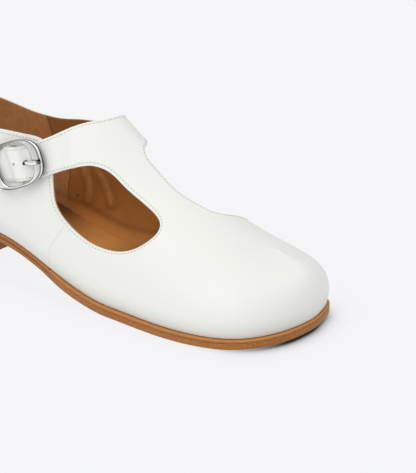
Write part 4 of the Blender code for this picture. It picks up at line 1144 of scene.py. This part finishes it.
def heel_loop(inset):
    """Back of the sole, then a breast that is hollow by a sine: 6 mm at its middle."""
    back = plan(np.linspace(-HEEL_ENDS, HEEL_ENDS, 220), WAIST_MARGIN - inset)
    share = np.linspace(0, 1, 60)[1:-1, None]
    breast = back[-1] + (back[0] - back[-1]) * share
    breast[:, 0] -= BREAST_HOLLOW * np.sin(np.pi * share[:, 0])
    return np.concatenate([back, breast])


def heel_part(name, levels, finish, edge_round):
    """Loops at rising levels. The inset is 0.4 mm at the seat plus 1.6 mm more at the floor, and each end
    rolls in by the edge's rounding."""
    loops = []
    for level, tuck, _ in levels:
        flat = heel_loop(SEAT_INSET + HEEL_TAPER * (1 - level / SEAT) + tuck * edge_round)
        loops.append(np.column_stack([flat, np.full(len(flat), level)]))
    stack = np.array(loops)
    part = add_rows(name, stack, finish, capped=True)
    rises, _, joints = np.array(levels, float).T
    give_uv(part, np.tile(run_length(stack[0]), len(stack)), np.repeat(rises, stack.shape[1]))
    give(part, "joint", np.repeat(joints, stack.shape[1]))
    return part


LIFTS = (
    # height, how far it tucks in, how dark the joint is
    (5.3, 1.0, 1), (5.35, 0.4, 0.8), (5.6, 0.0, 0), (9.2, 0.0, 0), (9.5, 0.35, 1), (9.8, 0.0, 0),
    (13.5, 0.0, 0), (13.8, 0.35, 1), (14.1, 0.0, 0), (17.8, 0.0, 0), (18.1, 0.35, 1), (18.4, 0.0, 0),
    (22.4, 0.0, 0), (22.7, 0.4, 0.6),
)
TOP_PIECE = ((0.0, 1.4, 0), (0.12, 0.5, 0), (0.5, 0.0, 0), (4.6, 0.0, 0), (4.95, 0.5, 0), (5.0, 1.0, 0))
heel = heel_part("heel_stack", LIFTS, HEEL_STACK, 0.25)
top_piece = heel_part("heel_rubber", TOP_PIECE, RUBBER, 0.4)
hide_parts("heel_lifts")
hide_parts("heel_top_piece")

# %% [markdown]
# ## The buckle
# A cast and polished frame: its section is dished, with a raised bead along the outer edge. A bent tube
# could stand for it, but would have no flat and no bead. The section is carried round a loop between an
# oval and a rectangle, in the strap's own measures.

# %% Polished metal
def polished_metal():
    f = Finish("polished_metal", Metallic=1.0, IOR=2.5)
    where = f.place()
    haze = f.noise(where, 160.0, 4.0, 0.6)
    hair = f.noise(f.place((1, 1, 14)), 700.0, 2.0, 0.5)
    # The stored shade is painted shade and painted dark reflection.
    color = f.coats((0.98, 0.985, 0.95), (haze, (0.84, 0.85, 0.81)),
                    (f.stored("shade"), (0.05, 0.05, 0.045)))
    return f.set(Base_Color=color, Roughness=0.07 + haze * 0.10, Normal=f.bump(hair, 0.00001, 0.25))


METAL = polished_metal()


def squared_oval(length, width, squareness, turns):
    """x = a sign(cos) |cos|^(2/n), y = b sign(sin) |sin|^(2/n)."""
    c, s, power = np.cos(turns), np.sin(turns), 2 / squareness
    return length * np.sign(c) * np.abs(c) ** power, width * np.sign(s) * np.abs(s) ** power


# %% Buckle frame
FRAME_SECTION = (
    # share of the band from the window to the outer edge, height in mm over the frame's level, and darkness:
    #     painted shade in the hollows and underneath, painted dark reflection on the edges
    (0.00, -0.10, 1), (0.02, 0.25, 1), (0.08, 0.48, 0.45), (0.18, 0.52, 0), (0.34, 0.36, 0.12),
    (0.52, 0.30, 0.3), (0.66, 0.46, 0.85), (0.76, 0.80, 0.6), (0.84, 1.14, 0), (0.91, 1.24, 0),
    (0.97, 1.08, 0.7), (1.00, 0.72, 1), (1.00, 0.20, 1), (0.95, -0.35, 1), (0.84, -0.68, 1),
    (0.60, -0.78, 1), (0.30, -0.74, 1), (0.08, -0.52, 1),
)
FRAME_CENTRE, FRAME_TILT = (-1.2, -0.1), 0.04
AWAY_DARK, AWAY_AT, UNDER_DARK, UNDER_AT = 0.80, 2.4, 0.55, -0.7
turns = np.linspace(0, 2 * np.pi, 200, endpoint=False)
window = squared_oval(10.3, 10.5, 3.0, turns)
outer = squared_oval(16.8, 12.0, 2.7, turns)
rows = []
for share, rise, _ in FRAME_SECTION:
    x, y = (a + (b - a) * share + c for a, b, c in zip(window, outer, FRAME_CENTRE))
    rows.append(on_buckle(x, y, FRAME_LEVEL + rise - FRAME_TILT * y))
buckle = add_rows("buckle_casting", np.array(rows), METAL, close_rows=True)
# Two soft dark patches stand for a dark room in the reflections: one across the band, one on its outer
# side only.
away = AWAY_DARK * np.clip(np.cos(turns - AWAY_AT), 0, 1) ** 1.5
outer_side = (np.arange(len(FRAME_SECTION)) > 9)[:, None]
under = UNDER_DARK * np.clip(np.cos(turns - UNDER_AT), 0, 1) ** 2 * outer_side
darkness = np.array(FRAME_SECTION)[:, 2:]
give(buckle, "shade", np.maximum(np.maximum(darkness, under), away[None]).ravel())
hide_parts("buckle_frame")


# %% [markdown]
# ## Bar and prong
# The bar runs across under the strap, and the prong is a thick wire bent round it and widened along its
# middle. Curves with a round bevel could make both, but an oval section swept along a path can change its
# width and its thickness on the way.

# %% Bar and prong
SWEPT_SIDES = 14


def swept(name, path, wide, thick, across, finish):
    """An oval section swept along a path: centre + wide * cos * across + thick * sin * up, where up is
    tangent x across. A flat cap closes each end."""
    path = np.asarray(path, float)
    across = unit(np.broadcast_to(across, path.shape))
    ahead = unit(np.gradient(path, axis=0))
    up = unit(np.cross(ahead, across))
    turn = np.linspace(0, 2 * np.pi, SWEPT_SIDES, endpoint=False)
    ring = (path[:, None] + (np.asarray(wide)[:, None] * np.cos(turn))[..., None] * across[:, None]
            + (np.asarray(thick)[:, None] * np.sin(turn))[..., None] * up[:, None])
    return add_rows(name, ring, finish, capped=True)


BAR, BAR_RADIUS, BAR_ENDS = 2.1, 0.75, 11.3
inner = np.array((-8.6, -7.6, -5, -2.5, 0, 2.5, 5, 7.6, 8.6))
low = on_strap(*beside_bar(np.zeros(9), inner), BAR + 0.3 * (np.abs(inner) > 8))
ends = FRAME_CENTRE[1] + np.array((-BAR_ENDS, BAR_ENDS))
ends = on_buckle(np.zeros(2), ends, FRAME_LEVEL - FRAME_TILT * ends)
path = np.concatenate([ends[:1], low, ends[1:]])
path = open_spline(run_length(path), path, np.linspace(0, run_length(path)[-1], 60))
radii = np.full(len(path), BAR_RADIUS)
bar = swept("buckle_bar", path, radii, radii, on_buckle(1, 0, 0) - on_buckle(0, 0, 0), METAL)

PRONG_EYE, PRONG_WIDE, PRONG_THICK = 1.4, 0.72, 0.55
turn = np.radians(np.linspace(60, 355, 26))
loop = np.column_stack([PRONG_EYE * np.cos(turn), BAR + PRONG_EYE * np.sin(turn)])
reach = np.array(((1.8, 2.0), (2.4, 2.15), (3.1, 2.6), (4.1, 3.5), (5.2, 4.5), (6.6, 5.3), (8.4, 5.8),
                  (10.4, 5.95), (12.0, 5.95), (13.0, 5.95), (13.9, 5.95)))
both = np.concatenate([loop, reach])
knots = run_length(both)
run = np.linspace(0, 1, 90)
fine = open_spline(knots, both, np.linspace(0, knots[-1], len(run)))
tip = np.clip((1 - run) / 0.05, 0, 1) ** 0.5
flare = 1 + 0.95 * np.exp(-(((fine[:, 0] - 9.4) / 2.7) ** 2)) * (fine[:, 1] > 4.5)
aside = -math.tan(BUCKLE_TURN) * np.clip(fine[:, 0] - PRONG_EYE, 0, None)
side = on_buckle(7, 1, 5) - on_buckle(7, -1, 5)
prong = swept("buckle_tongue", on_buckle(fine[:, 0], aside, fine[:, 1]),
              PRONG_WIDE * flare * (0.35 + 0.65 * tip), PRONG_THICK * (0.4 + 0.6 * tip), side, METAL)
turn = np.linspace(0, 2 * np.pi, SWEPT_SIDES, endpoint=False)
# Painted shade on the prong's underside and at its tip, stored as its shade.
dark = np.clip(0.62 - 0.75 * np.sin(turn), 0, 1)[None] + 0.9 * smoothstep((run - 0.90) / 0.06)[:, None]
give(prong, "shade", np.clip(dark, 0, 1).ravel())
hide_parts("buckle_prong")
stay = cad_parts["buckle_stay"].data.materials
stay.clear()
stay.append(tan_leather("stay_leather", (0.78, 0.78, 0.73), (0.72, 0.72, 0.66)))

# %% [markdown]
# ## Floor and light
# A pale seamless floor that glows a little, as a lit glass table does, so the shoe throws only a thin
# shadow. A plain sheet would show the lamps' deep shadow, which the photo doesn't have. The floor's rings
# follow the sole's outline, and store how dark the shadow at the toe is.

# %% Floor
def floor_finish():
    f = Finish("floor_paper", Roughness=0.9, Specular_IOR_Level=0.0, Emission_Strength=1.0)
    shadow = f.stored("shadow")
    paper = f.mix(shadow, (0.045, 0.045, 0.046), (0.03, 0.03, 0.03))
    glow = f.mix(shadow, (0.868, 0.870, 0.888), (0.02, 0.017, 0.012))
    seen_from_above = 1 - f.node("ShaderNodeNewGeometry", output="Backfacing")
    return f.set(Alpha=seen_from_above, Base_Color=paper, Emission_Color=glow)


OFFSETS = np.array((-9, -5, -2.5, -1, 0, 0.8, 1.6, 2.5, 3.5, 5, 7, 10, 14, 20, 30))
FAR_RINGS = ((220, 0.5), (450, 0.9), (1500, 1.0), (9000, 1.0))  # radius, and how round the ring is
FLOOR_LEVEL, RING_STEP = -0.03, 40
TOE_SHADOW, TOE_FADE, FAINT_SHADOW, FAINT_FADE = 0.9, 2.6, 0.03, 9.0
where = np.linspace(0, ROUND, 240, endpoint=False)
rings = [plan(where, margin(where) + offset) for offset in OFFSETS]
middle = plan(where).mean(0)
spread = unit(rings[-1] - middle)
for radius, share in FAR_RINGS:
    rings.append((1 - share) * (rings[-1] + spread * RING_STEP) + share * (middle + spread * radius))
rings = [rings[0] * 0.5 + np.roll(rings[0][::-1], 1, 0) * 0.5] + rings
flat = np.dstack([np.array(rings), np.full((len(rings), len(where)), FLOOR_LEVEL)])
side = smoothstep((where - 9.8) / 2.8) * (1 - smoothstep((where - 16.5) / 3.0))
near = np.where(OFFSETS < -2, 1.0, TOE_SHADOW * np.exp(-(OFFSETS + 2) / TOE_FADE)) * (OFFSETS > -6)
faint = FAINT_SHADOW * np.exp(-np.abs(OFFSETS) / FAINT_FADE)
shadow = np.zeros(flat.shape[:2])
shadow[1 : 1 + len(OFFSETS)] = near[:, None] * side + faint[:, None]
floor = bpy.data.meshes.new("floor")
faces = grid_faces(len(rings), len(where), close_columns=True)
floor.from_pydata(((flat.reshape(-1, 3) + SHIFT) * MM).tolist(), [], faces[:, ::-1].tolist())
floor_piece = scene_object("floor", floor)
give(floor_piece, "shadow", shadow.ravel())
floor.materials.append(floor_finish())
print("floor with", len(rings), "rings")


# %% Lights
def soft_box(name, place, aim, size, power):
    """A square light at a place in metres, turned to its aim."""
    light = bpy.data.lights.new(name, "AREA")
    light.energy, light.shape, light.size = power, "SQUARE", size
    back = unit(np.array(place, float) - np.array(aim, float))
    across = unit(np.cross((0, 0, 1), back))
    scene_object(name, light).matrix_world = world_matrix(across, np.cross(back, across), back, place)


sky = bpy.data.worlds.new("sky")
sky.use_nodes = True
background = sky.node_tree.nodes["Background"].inputs
background["Color"].default_value = (1.0, 1.0, 1.01, 1)
background["Strength"].default_value = 0.70
bpy.context.scene.world = sky
soft_box("key", (-0.1, -1.5, 1.4), (0, 0, 0.03), 1.7, 19)
soft_box("rim", (0.9, 0.7, 1.5), (0, 0, 0), 1.3, 6)
